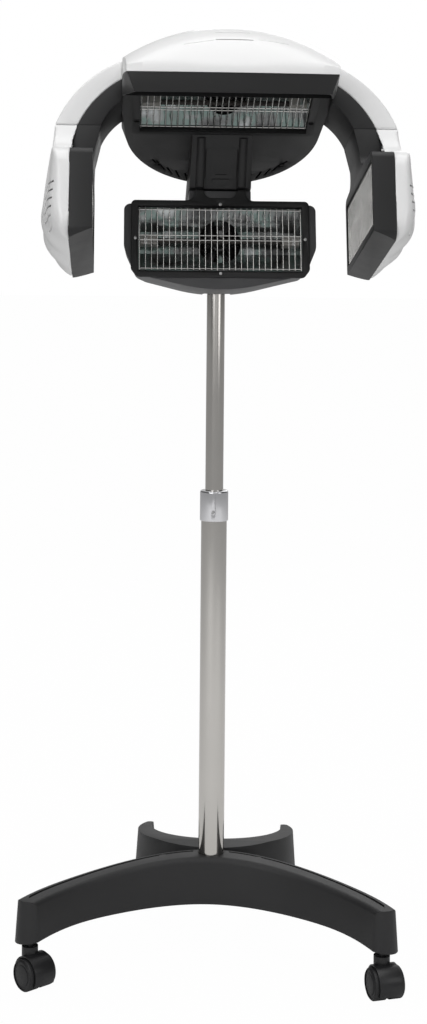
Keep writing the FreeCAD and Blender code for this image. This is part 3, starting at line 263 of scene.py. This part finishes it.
def draw_in(piece, share, reach):
    """Moves each vertex across the frame by its own share of the reach."""
    group = piece.vertex_groups.new(name="drawn")
    for vert in piece.data.vertices:
        group.add([vert.index], share(vert), "REPLACE")
    modify(piece, "DISPLACE", direction="X", strength=reach, mid_level=0.0, vertex_group=group.name)


def carve(piece, size, place):
    """Cuts a box of this size in millimetres out of the piece."""
    cutter = add("cube", size=1.0, scale=[side * MM for side in size])
    settle(cutter, place)
    modify(piece, "BOOLEAN", object=cutter, operation="DIFFERENCE", solver="EXACT")
    bpy.data.objects.remove(cutter)


def fit(piece, material, node):
    """Gives a piece its finish and ties it to its node's body."""
    piece.data.materials.clear()
    piece.data.materials.append(material)
    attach(piece, frame["nodes"][node]["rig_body"])
    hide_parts(node)


# ================================================================ finishes
def finish(name, colour, roughness, metallic=0.0, spread=0.08, patch=9.0, grain=900.0,
           relief=0.05, depth=0.05, rough_spread=0.12, **sockets):
    """Procedural finish: cloudy colour and gloss, and a fine moulded or brushed grain."""
    name = "finish_" + name
    material = bpy.data.materials.get(name)
    if material is not None:
        return material
    material = bpy.data.materials.new(name)
    material.use_nodes = True
    tree = material.node_tree
    shader = tree.nodes["Principled BSDF"]
    shader.inputs["Metallic"].default_value = metallic
    for key, value in sockets.items():
        shader.inputs[key.replace("_", " ").title().replace("Ior", "IOR")].default_value = value
    coordinates = tree.nodes.new("ShaderNodeTexCoord")

    def cloud(scale, detail):
        node = tree.nodes.new("ShaderNodeTexNoise")
        node.inputs["Scale"].default_value = scale
        node.inputs["Detail"].default_value = detail
        tree.links.new(coordinates.outputs["Object"], node.inputs["Vector"])
        return node.outputs["Fac"]
    ramp = tree.nodes.new("ShaderNodeValToRGB")
    ramp.color_ramp.elements[0].position = 0.3
    ramp.color_ramp.elements[1].position = 0.7
    ramp.color_ramp.elements[0].color = [c * (1 - spread) for c in colour] + [1]
    ramp.color_ramp.elements[1].color = [min(1, c * (1 + spread)) for c in colour] + [1]
    tree.links.new(cloud(patch, 4.0), ramp.inputs["Fac"])
    tree.links.new(ramp.outputs["Color"], shader.inputs["Base Color"])
    gloss = tree.nodes.new("ShaderNodeMapRange")
    gloss.inputs["To Min"].default_value = roughness * (1 - rough_spread)
    gloss.inputs["To Max"].default_value = roughness * (1 + rough_spread)
    tree.links.new(cloud(patch * 4, 6.0), gloss.inputs["Value"])
    tree.links.new(gloss.outputs["Result"], shader.inputs["Roughness"])
    bump = tree.nodes.new("ShaderNodeBump")
    bump.inputs["Strength"].default_value = relief
    bump.inputs["Distance"].default_value = depth * MM
    tree.links.new(cloud(grain, 2.0), bump.inputs["Height"])
    tree.links.new(bump.outputs["Normal"], shader.inputs["Normal"])
    return material


def painted_reflection_sheet(colour):
    """Crumpled mirror sheet whose colour carries painted reflections: mostly dark, with teal and bright
    patches.
    """
    material = finish("reflector_mirror", colour, 0.14, 0.78, patch=26.0, grain=42.0, relief=0.9,
                      depth=1.6)
    ramp = next(node for node in material.node_tree.nodes if node.type == "VALTORGB").color_ramp
    # The ramp's dark, teal and bright steps are painted reflections, not the sheet's own colour.
    if len(ramp.elements) == 2:
        ramp.elements[0].position = 0.34
        ramp.elements[0].color = [c * 0.40 for c in colour] + [1]
        ramp.elements[1].position = 0.72
        ramp.elements[1].color = (0.55, 0.58, 0.58, 1)
        for place, shade in ((0.44, colour), (0.56, (0.20, 0.27, 0.25)), (0.62, (0.30, 0.31, 0.31))):
            ramp.elements.new(place).color = [*shade, 1]
    return material


def finishes(context):
    """All the finishes by name."""
    c = context.scene.processor_colours
    return {
        "white_shell": finish("white_shell", c.shell, 0.30, spread=0.012, relief=0.02, grain=500.0,
                              coat_weight=0.35, coat_roughness=0.12),
        "black_plastic": finish("black_plastic", c.black, 0.46, spread=0.10, grain=1500.0,
                                relief=0.25, depth=0.08, specular_ior_level=0.42),
        "satin_plastic": finish("satin_plastic", [shade * 5.5 for shade in c.black], 0.42, spread=0.10,
                                grain=1300.0, relief=0.2, depth=0.08, specular_ior_level=0.45),
        "base_plastic": finish("base_plastic", c.base, 0.50, spread=0.10, grain=1100.0,
                               relief=0.30, depth=0.10, specular_ior_level=0.45),
        "caster_plastic": finish("caster_plastic", c.caster, 0.36, grain=900.0, relief=0.10),
        "wheel_plastic": finish("wheel_plastic", c.caster, 0.48, grain=700.0, relief=0.15),
        "polished_steel": finish("polished_steel", c.steel, 0.13, 1.0, spread=0.03, relief=0.03,
                                 grain=600.0),
        "collar_chrome": finish("collar_chrome", c.chrome, 0.10, 1.0, spread=0.02, relief=0.02),
        "screw_steel": finish("screw_steel", (0.55, 0.55, 0.55), 0.30, 1.0, relief=0.05),
        "black_screw": finish("black_screw", (0.03, 0.03, 0.03), 0.35, 1.0, relief=0.05),
        "plate_steel": finish("plate_steel", (0.35, 0.35, 0.35), 0.42, 1.0, relief=0.10),
        "bush_plastic": finish("bush_plastic", (0.03, 0.03, 0.03), 0.4),
        "panel_plastic": finish("panel_plastic", (0.022, 0.022, 0.024), 0.28, relief=0.05),
        "button_plastic": finish("button_plastic", (0.16, 0.17, 0.18), 0.40, relief=0.05),
        "grille_steel": finish("grille_steel", c.wire, 0.22, 1.0, relief=0.03),
        "reflector_mirror": painted_reflection_sheet(c.mirror),
        "heater_quartz": finish("heater_quartz", c.quartz, 0.08, spread=0.1, patch=60.0,
                                transmission_weight=0.35, ior=1.3),
        "filament": finish("filament", (0.30, 0.27, 0.24), 0.35, 1.0, relief=0.05),
        "display": finish("display", (0.006, 0.010, 0.012), 0.06, spread=0.05, relief=0.01),
        "ceramic": finish("ceramic", c.ceramic, 0.55, spread=0.05, grain=800.0, relief=0.1),
        "fan_plastic": finish("fan_plastic", (0.008, 0.008, 0.009), 0.22, relief=0.04,
                              coat_weight=0.3, coat_roughness=0.08),
    }


# ================================================================ operators
def sink(piece, test, border, depth):
    """Insets the faces that pass the test and moves them along their normal."""
    pick(piece, test)
    bpy.ops.mesh.inset(thickness=border, use_even_offset=True)
    bpy.ops.mesh.extrude_region_shrink_fatten(
        TRANSFORM_OT_shrink_fatten={"value": depth})
    done()


class MakeGrilles(bpy.types.Operator):
    """Welded wire guards in front of the four lamps"""
    bl_idname = "processor.grilles"
    bl_label = "Wire guards"

    def wire(self, radius, span, place, across=False):
        turn = (0, math.radians(90), 0) if across else (0, 0, 0)
        piece = add("cylinder", vertices=12, radius=radius, depth=span, location=place, rotation=turn)
        settle(piece)
        round_edges(piece, radius * 0.45, angle=60.0, segments=1)
        return piece

    def execute(self, context):
        made = finishes(context)
        radius = context.scene.processor_sizes.wire
        count = 28
        for lamp, (place, lamp_height) in LAMPS.items():
            height = lamp_height * MM
            upright = self.wire(radius, height, (-LAMP_WIDTH / 2, 2.5 * MM, 0))
            modify(upright, "ARRAY", count=count, use_relative_offset=False, use_constant_offset=True,
                   constant_offset_displace=(LAMP_WIDTH / (count - 1), 0, 0))
            edge = height / 2 - 3.0 * MM
            rails = [self.wire(radius, LAMP_WIDTH + 3.8 * MM, (0, 3.9 * MM, h), across=True)
                     for h in (edge, 5.6 * MM, -1.6 * MM, -edge)]
            guard = joined(lamp + "_wire_guard", [upright] + rails)
            settle(guard, place)
            smooth(guard)
            fit(guard, made["grille_steel"], lamp + "_grille")
        return {"FINISHED"}


class MakeHeaters(bpy.types.Operator):
    """Quartz tubes with their coiled filament and ceramic ends"""
    bl_idname = "processor.heaters"
    bl_label = "Heater tubes"

    def tube(self, lamp):
        glass = add("cylinder", vertices=32, radius=4.0 * MM, depth=196.0 * MM,
                    rotation=(0, math.radians(90), 0), location=(0, 16.0 * MM, 0))
        settle(glass)
        round_edges(glass, 1.4 * MM, angle=60.0, segments=4)
        glass.name = lamp + "_quartz_tube"
        return glass

    def filament(self, lamp, pitch):
        coil = add("circle", vertices=6, radius=0.32 * MM, location=(0, 0, 2.3 * MM),
                   rotation=(math.radians(90), 0, 0))
        settle(coil)
        turns = int(184.0 * MM / pitch)
        modify(coil, "SCREW", axis="X", angle=math.radians(360), screw_offset=pitch, iterations=turns,
               steps=12, render_steps=12, use_merge_vertices=False)
        coil.location = (-turns * pitch / 2, 16.0 * MM, 0)
        settle(coil)
        coil.name = lamp + "_filament"
        return coil

    def ends(self, lamp):
        blocks = []
        for side in (-1, 1):
            block = add("cube", size=1.0, location=(side * 107.0 * MM, 19.7 * MM, 0),
                        scale=(26.0 * MM, 20.4 * MM, 13.0 * MM))
            settle(block)
            sink(block, lambda face: face.normal.x * side < -0.9, 1.6 * MM, -1.2 * MM)
            sink(block, lambda face: face.normal.y < -0.9, 2.4 * MM, -1.0 * MM)
            round_edges(block, 0.7 * MM)
            blocks.append(block)
        return joined(lamp + "_ceramic_ends", blocks)

    def clips(self, lamp):
        bands = []
        for side in (-1, 1):
            band = add("cube", size=1.0, location=(side * 112.0 * MM, 19.4 * MM, 0),
                       scale=(5.0 * MM, 20.6 * MM, 14.0 * MM))
            settle(band)
            round_edges(band, 0.5 * MM)
            bands.append(band)
        return joined(lamp + "_spring_clips", bands)

    def execute(self, context):
        made = finishes(context)
        pitch = context.scene.processor_sizes.filament
        for lamp, (place, _) in LAMPS.items():
            pieces = ((self.tube(lamp), "heater_quartz", 60.0),
                      (self.filament(lamp, pitch), "filament", 80.0),
                      (self.ends(lamp), "ceramic", 35.0),
                      (self.clips(lamp), "screw_steel", 35.0))
            for piece, colour, angle in pieces:
                settle(piece, place)
                smooth(piece, angle)
                fit(piece, made[colour], lamp + "_heater")
        return {"FINISHED"}


class MakeFans(bpy.types.Operator):
    """Rotors with twisted blades behind the reflectors"""
    bl_idname = "processor.fans"
    bl_label = "Fans"

    def blade(self, turn):
        piece = add("grid", x_subdivisions=8, y_subdivisions=5, size=1.0)
        piece.scale = (20.6 * MM, 10.5 * MM, 1)
        settle(piece)
        modify(piece, "SIMPLE_DEFORM", deform_method="TWIST", angle=math.radians(-22),
               deform_axis="X")
        modify(piece, "SOLIDIFY", thickness=1.2 * MM, offset=0.0)
        round_edges(piece, 0.35 * MM, segments=2)
        settle(piece, Matrix.Rotation(turn, 4, "Y") @ Matrix.Translation((20.0 * MM, 40.0 * MM, 0))
               @ Matrix.Rotation(math.radians(42), 4, "X"))
        return piece

    def hub(self):
        piece = add("cylinder", vertices=48, radius=11.0 * MM, depth=11.6 * MM,
                    rotation=(math.radians(90), 0, 0), location=(0, 40.0 * MM, 0))
        settle(piece)
        round_edges(piece, 0.9 * MM)
        sink(piece, lambda face: face.normal.y < -0.9, 2.6 * MM, -0.8 * MM)
        sink(piece, lambda face: face.normal.y < -0.9 and face.calc_area() > 1e-4, 3.6 * MM, 0.5 * MM)
        return piece

    def execute(self, context):
        made = finishes(context)
        count = 7
        for lamp, (place, _) in LAMPS.items():
            blades = [self.blade(math.radians(360.0 * i / count)) for i in range(count)]
            rotor = joined(lamp + "_rotor", [self.hub()] + blades)
            settle(rotor, place)
            smooth(rotor)
            fit(rotor, made["fan_plastic"], lamp + "_fan")
        return {"FINISHED"}


class MakeScrews(bpy.types.Operator):
    """Cross-recessed screws of the underside and of the nape lamp's front"""
    bl_idname = "processor.screws"
    bl_label = "Screws"

    def head(self, radius, height, place):
        piece = add("cylinder", vertices=32, radius=radius, depth=height, location=(0, 0, height / 2))
        settle(piece)
        pick(piece, lambda edge: all(vert.co.z > height * 0.9 for vert in edge.verts), "edges")
        bpy.ops.mesh.bevel(offset=height * 0.55, segments=4)
        done()
        for turn in (0, 90):
            cutter = add("cube", size=1.0, location=(0, 0, height), rotation=(0, 0, math.radians(turn)),
                         scale=(radius * 1.05, radius * 0.26, height * 1.1))
            settle(cutter)
            modify(piece, "BOOLEAN", object=cutter, operation="DIFFERENCE", solver="EXACT")
            bpy.data.objects.remove(cutter)
        settle(piece, place)
        return piece

    def execute(self, context):
        made = finishes(context)
        under = []
        for x, d in ((-128.0, 178.0), (128.0, 178.0), (-96.0, 62.0), (96.0, 62.0)):
            rise = 8.0 + (d - 2.0) * math.tan(UNDERSIDE)
            place = in_head(x, -d, rise, 180.0 + math.degrees(UNDERSIDE))
            under.append(self.head(4.0 * MM, 1.9 * MM, place @ Matrix.Translation((0, 0, -1.1 * MM))))
        piece = joined("underside_screws", under)
        smooth(piece)
        fit(piece, made["black_screw"], "head_screws")
        front = [self.head(2.4 * MM, 1.3 * MM, in_head(x, -79.9, z, 90.0) @ Matrix.Rotation(turn, 4, "Z"))
                 for x, z, turn in ((0, -45.0, 0.3), (0, -152.0, 0.9), (-128.0, -98.5, 0.6),
                                    (128.0, -98.5, 1.2))]
        piece = joined("nape_front_screws", front)
        smooth(piece)
        fit(piece, made["screw_steel"], "nape_screws")
        return {"FINISHED"}


class MakeCasters(bpy.types.Operator):
    """Twin wheels with recessed hub discs, and their hoods"""
    bl_idname = "processor.casters"
    bl_label = "Casters"

    def wheel(self, side):
        piece = add("cylinder", vertices=72, radius=23.0 * MM, depth=19.0 * MM,
                    rotation=(0, math.radians(90), 0), location=(side * 13.0 * MM, -12.0 * MM, 23.0 * MM))
        settle(piece)

        def outer(face):
            return face.normal.x * side > 0.9
        pick(piece, lambda edge: all(vert.co.x * side > 22.4 * MM for vert in edge.verts), "edges")
        bpy.ops.mesh.bevel(offset=2.4 * MM, segments=4)
        done()
        sink(piece, outer, 2.2 * MM, -1.3 * MM)
        sink(piece, lambda face: outer(face) and face.calc_area() > 3e-4, 7.0 * MM, 0.9 * MM)
        sink(piece, lambda face: outer(face) and 5e-5 < face.calc_area() < 4e-4, 4.0 * MM, -0.7 * MM)
        round_edges(piece, 0.35 * MM, angle=50.0, segments=2)
        return piece

    def execute(self, context):
        made = finishes(context)
        for name, (x, d, turn) in CASTERS.items():
            wheels = joined("wheels_" + name, [self.wheel(-1), self.wheel(1)])
            settle(wheels, Matrix.Translation((x * MM, -d * MM, 0))
                   @ Matrix.Rotation(math.radians(turn), 4, "Z"))
            smooth(wheels, 30.0)
            fit(wheels, made["wheel_plastic"], "caster_wheels_" + name)
            hood = copy_of("caster_hood_" + name, "hood_" + name)
            round_edges(hood, 0.8 * MM)
            smooth(hood)
            fit(hood, made["caster_plastic"], "caster_hood_" + name)
        return {"FINISHED"}


class MakePanel(bpy.types.Operator):
    """Operator's panel with a dark display window and three domed buttons"""
    bl_idname = "processor.control_panel"
    bl_label = "Control panel"

    def execute(self, context):
        made = finishes(context)
        place = in_head(0, -42.0, 112.0, -38.0)
        plate = copy_of("control_panel", "panel_plate")
        round_edges(plate, 0.8 * MM)
        smooth(plate)
        fit(plate, made["panel_plastic"], "control_panel")
        window = add("cube", size=1.0, location=(0, -12.0 * MM, 1.35 * MM),
                     scale=(78.0 * MM, 18.0 * MM, 0.6 * MM))
        settle(window)
        round_edges(window, 0.25 * MM)
        settle(window, place)
        window.name = "display_window"
        fit(window, made["display"], "control_panel")
        for name, x in (("button_minus", -30.0), ("button_start", 0.0), ("button_plus", 30.0)):
            button = add("cylinder", vertices=48, radius=6.0 * MM, depth=5.5 * MM,
                         location=(x * MM, 13.0 * MM, 0.75 * MM))
            settle(button)
            round_edges(button, 0.8 * MM)
            sink(button, lambda face: face.normal.z > 0.9, 1.4 * MM, -0.35 * MM)
            settle(button, place)
            smooth(button)
            button.name = name + "_cap"
            fit(button, made["button_plastic"], name)
        return {"FINISHED"}


class FinishNodes(bpy.types.Operator):
    """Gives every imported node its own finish"""
    bl_idname = "processor.finish_nodes"
    bl_label = "Finish the frame"

    def execute(self, context):
        made = finishes(context)
        for name, node in frame["nodes"].items():
            for index in range(len(node.data.materials)):
                node.data.materials[index] = made[SLOTS[name]]
        return {"FINISHED"}


MOULDINGS = {
    "base_front_leg": ("front_leg_moulding", 1.0), "base_rear_leg": ("rear_leg_moulding", 1.5),
    "top_housing": ("head_housing", 1.2), "top_cover": ("head_cover", 1.2),
    "neck_housing": ("neck_moulding", 1.5), "nape_housing": ("nape_lamp_housing", 2.0),
    "nape_plate": ("nape_lamp_front", 1.0),
    "left_arm_cover": ("left_arm_shell", 2.5), "right_arm_cover": ("right_arm_shell", 2.5),
    "left_arm_liner": ("left_arm_inner", 2.5), "right_arm_liner": ("right_arm_inner", 2.5),
    "left_housing": ("left_lamp_housing", 1.2), "right_housing": ("right_lamp_housing", 1.2),
    "latch_door": ("latch_cover", 0.9), "latch_button": ("latch_push", 0.9),
    "collar": ("column_collar", 0.8), "power_inlet": ("mains_inlet", 0.6),
}


class MakeMouldings(bpy.types.Operator):
    """Rounds the edges of the plastic mouldings, as they leave the mould"""
    bl_idname = "processor.mouldings"
    bl_label = "Plastic mouldings"

    def execute(self, context):
        made = finishes(context)
        for node, (name, edge) in MOULDINGS.items():
            piece = copy_of(node, name)
            round_edges(piece, edge * MM)
            if node == "top_cover":
                self.cover_lines(piece)
            smooth(piece)
            look = "satin_plastic" if node == "nape_housing" else SLOTS[node]
            fit(piece, made[look], node)
        return {"FINISHED"}

    def cover_lines(self, cover):
        """Recessed slot in the cover's brow, between two fine seams."""
        for x, d, h, lean, turn, size in BROW_LINES:
            carve(cover, size, in_head(x, -d, h, BROW_SLOPE)
                  @ Matrix.Rotation(math.radians(lean), 4, "Y")
                  @ Matrix.Rotation(math.radians(turn), 4, "Z"))


class MakeShells(bpy.types.Operator):
    """Soft white shells of the side lamps, with slanted cooling vents"""
    bl_idname = "processor.shells"
    bl_label = "Lamp shells"

    def slimmer(self, place):
        """Share by which the shell's bulge is drawn in at this height of the head."""
        height = place.z / MM
        for (upper, start), (lower, end) in zip(SHELL_WAIST, SHELL_WAIST[1:]):
            if lower <= height <= upper:
                return start + (end - start) * (upper - height) / (upper - lower)
        return 0.0

    def execute(self, context):
        made = finishes(context)
        to_head = HEAD.inverted()
        for side, sign in (("left", -1), ("right", 1)):
            shell = copy_of(side + "_shell", side + "_lamp_shell")
            soften(shell, lambda vert: abs((to_head @ vert.co).x) > 224.0 * MM
                   and (to_head @ vert.co).z < 18.0 * MM, 1.7 * MM, 45)

            def share(vert):
                place = to_head @ vert.co
                beyond = max(0.0, abs(place.x) / MM - SHELL_SEAM)
                return beyond / SHELL_BULGE * self.slimmer(place)
            draw_in(shell, share, -sign * SHELL_BULGE * MM)
            for i, inner in enumerate(VENT_INNER_ENDS):
                place = in_head(sign * (inner + VENT_OUTER_END) / 2, -VENT_FORWARD,
                                VENT_TOP - VENT_PITCH * i)
                carve(shell, (VENT_OUTER_END - inner, VENT_LENGTH, VENT_OPENING), place)
            smooth(shell, 35.0)
            fit(shell, made["white_shell"], side + "_shell")
        return {"FINISHED"}


class MakeStage(bpy.types.Operator):
    """Pale floor, soft studio light and the camera"""
    bl_idname = "processor.stage"
    bl_label = "Studio"

    def execute(self, context):
        stage = context.scene.processor_stage
        floor_colour = context.scene.processor_colours.floor
        floor = add("plane", size=120.0, location=(0, 40.0, 0))
        floor.name = "studio_floor"
        settle(floor)
        material = bpy.data.materials.new("studio_floor")
        material.use_nodes = True
        tree = material.node_tree
        shader = tree.nodes["Principled BSDF"]
        shader.inputs["Base Color"].default_value = list(floor_colour) + [1]
        shader.inputs["Roughness"].default_value = 0.9
        glow = tree.nodes.new("ShaderNodeEmission")
        path = tree.nodes.new("ShaderNodeLightPath")
        mix = tree.nodes.new("ShaderNodeMixShader")
        share = tree.nodes.new("ShaderNodeMath")
        share.operation = "MULTIPLY"
        share.inputs[1].default_value = 0.985
        tree.links.new(path.outputs["Is Camera Ray"], share.inputs[0])
        tree.links.new(share.outputs[0], mix.inputs["Fac"])
        tree.links.new(shader.outputs["BSDF"], mix.inputs[1])
        tree.links.new(glow.outputs["Emission"], mix.inputs[2])
        tree.links.new(mix.outputs["Shader"], tree.nodes["Material Output"].inputs["Surface"])
        floor.data.materials.append(material)
        self.light_room(context)
        self.place_camera(context, stage)
        context.scene.view_settings.view_transform = "Standard"
        return {"FINISHED"}

    def light_room(self, context):
        world = bpy.data.worlds.new("studio_room")
        context.scene.world = world
        world.use_nodes = True
        tree = world.node_tree
        room = tree.nodes["Background"]
        coordinates = tree.nodes.new("ShaderNodeTexCoord")
        split = tree.nodes.new("ShaderNodeSeparateXYZ")
        tree.links.new(coordinates.outputs["Generated"], split.inputs["Vector"])
        side = tree.nodes.new("ShaderNodeMath")
        side.operation = "ABSOLUTE"
        tree.links.new(split.outputs["X"], side.inputs[0])
        ramp = tree.nodes.new("ShaderNodeValToRGB")
        elements = ramp.color_ramp.elements
        elements[0].position, elements[0].color = 0.0, (0.62, 0.62, 0.62, 1)
        elements[1].position, elements[1].color = 1.0, (0.18, 0.18, 0.18, 1)
        for place, level in ((0.35, 0.75), (0.62, 0.20), (0.80, 0.10)):
            element = elements.new(place)
            element.color = (level, level, level, 1)
        tree.links.new(side.outputs[0], ramp.inputs["Fac"])
        tree.links.new(ramp.outputs["Color"], room.inputs["Color"])
        room.inputs["Strength"].default_value = 0.80
        backdrop = tree.nodes.new("ShaderNodeBackground")
        backdrop.inputs["Color"].default_value = (1, 1, 1, 1)
        path = tree.nodes.new("ShaderNodeLightPath")
        mix = tree.nodes.new("ShaderNodeMixShader")
        tree.links.new(path.outputs["Is Camera Ray"], mix.inputs["Fac"])
        tree.links.new(room.outputs["Background"], mix.inputs[1])
        tree.links.new(backdrop.outputs["Background"], mix.inputs[2])
        tree.links.new(mix.outputs["Shader"], tree.nodes["World Output"].inputs["Surface"])
        lamps = (("overhead_softbox", (0.0, -0.6, 3.4), (0, 0, 0.9), 2.6, 34.0),
                 ("front_softbox", (-1.3, -3.2, 1.9), (0, 0, 0.9), 1.8, 21.0),
                 ("side_softbox", (2.3, -1.9, 1.5), (0, 0, 0.9), 1.4, 9.0),
                 ("rear_softbox", (0.6, 2.6, 2.2), (0, 0, 0.9), 1.8, 12.0))
        for name, place, aim, size, power in lamps:
            light = bpy.data.lights.new(name, "AREA")
            light.size = size
            light.energy = power
            holder = bpy.data.objects.new(name, light)
            context.scene.collection.objects.link(holder)
            holder.location = place
            holder.rotation_euler = (Vector(aim) - Vector(place)).to_track_quat("-Z", "Y").to_euler()

    def place_camera(self, context, stage):
        data = bpy.data.cameras.new("camera")
        camera = bpy.data.objects.new("camera", data)
        context.scene.collection.objects.link(camera)
        data.lens = stage.lens
        data.sensor_width = 36.0
        data.shift_x = stage.aside
        data.shift_y = stage.rise
        place = Vector((math.sin(stage.azimuth), -math.cos(stage.azimuth), 0)) * stage.distance
        place.z = stage.height
        turn = (Matrix.Rotation(stage.azimuth, 4, "Z") @ Matrix.Rotation(math.radians(90), 4, "X")
                @ Matrix.Rotation(stage.roll, 4, "Z"))
        camera.matrix_world = Matrix.Translation(place) @ turn
        context.scene.camera = camera


class ProcessorPanel(bpy.types.Panel):
    """Sidebar panel that lists what can be made"""
    bl_label = "Hair Processor"
    bl_idname = "VIEW3D_PT_hair_processor"
    bl_space_type = "VIEW_3D"
    bl_region_type = "UI"
    bl_category = "Hair Processor"

    def draw(self, context):
        layout = self.layout
        for group in ("processor_colours", "processor_sizes", "processor_stage"):
            settings = getattr(context.scene, group)
            column = layout.column(align=True)
            for key in settings.bl_rna.properties.keys():
                if key not in ("rna_type", "name"):
                    column.prop(settings, key)
        for operator in OPERATORS:
            layout.operator(operator.bl_idname)


GROUPS = {"processor_colours": ProcessorColours, "processor_sizes": ProcessorSizes,
          "processor_stage": ProcessorStage}
OPERATORS = (MakeStage, FinishNodes, MakeMouldings, MakeShells, MakeGrilles, MakeHeaters, MakeFans,
             MakeScrews, MakeCasters, MakePanel)


def register():
    for group in (*GROUPS.values(), *OPERATORS, ProcessorPanel):
        bpy.utils.register_class(group)
    for name, group in GROUPS.items():
        setattr(bpy.types.Scene, name, bpy.props.PointerProperty(type=group))


def unregister():
    for name in GROUPS:
        delattr(bpy.types.Scene, name)
    for group in (ProcessorPanel, *OPERATORS[::-1], *GROUPS.values()):
        bpy.utils.unregister_class(group)


def main():
    register()
    for operator in OPERATORS:
        family, name = operator.bl_idname.split(".")
        getattr(getattr(bpy.ops, family), name)()


if __name__ == "__main__":
    main()
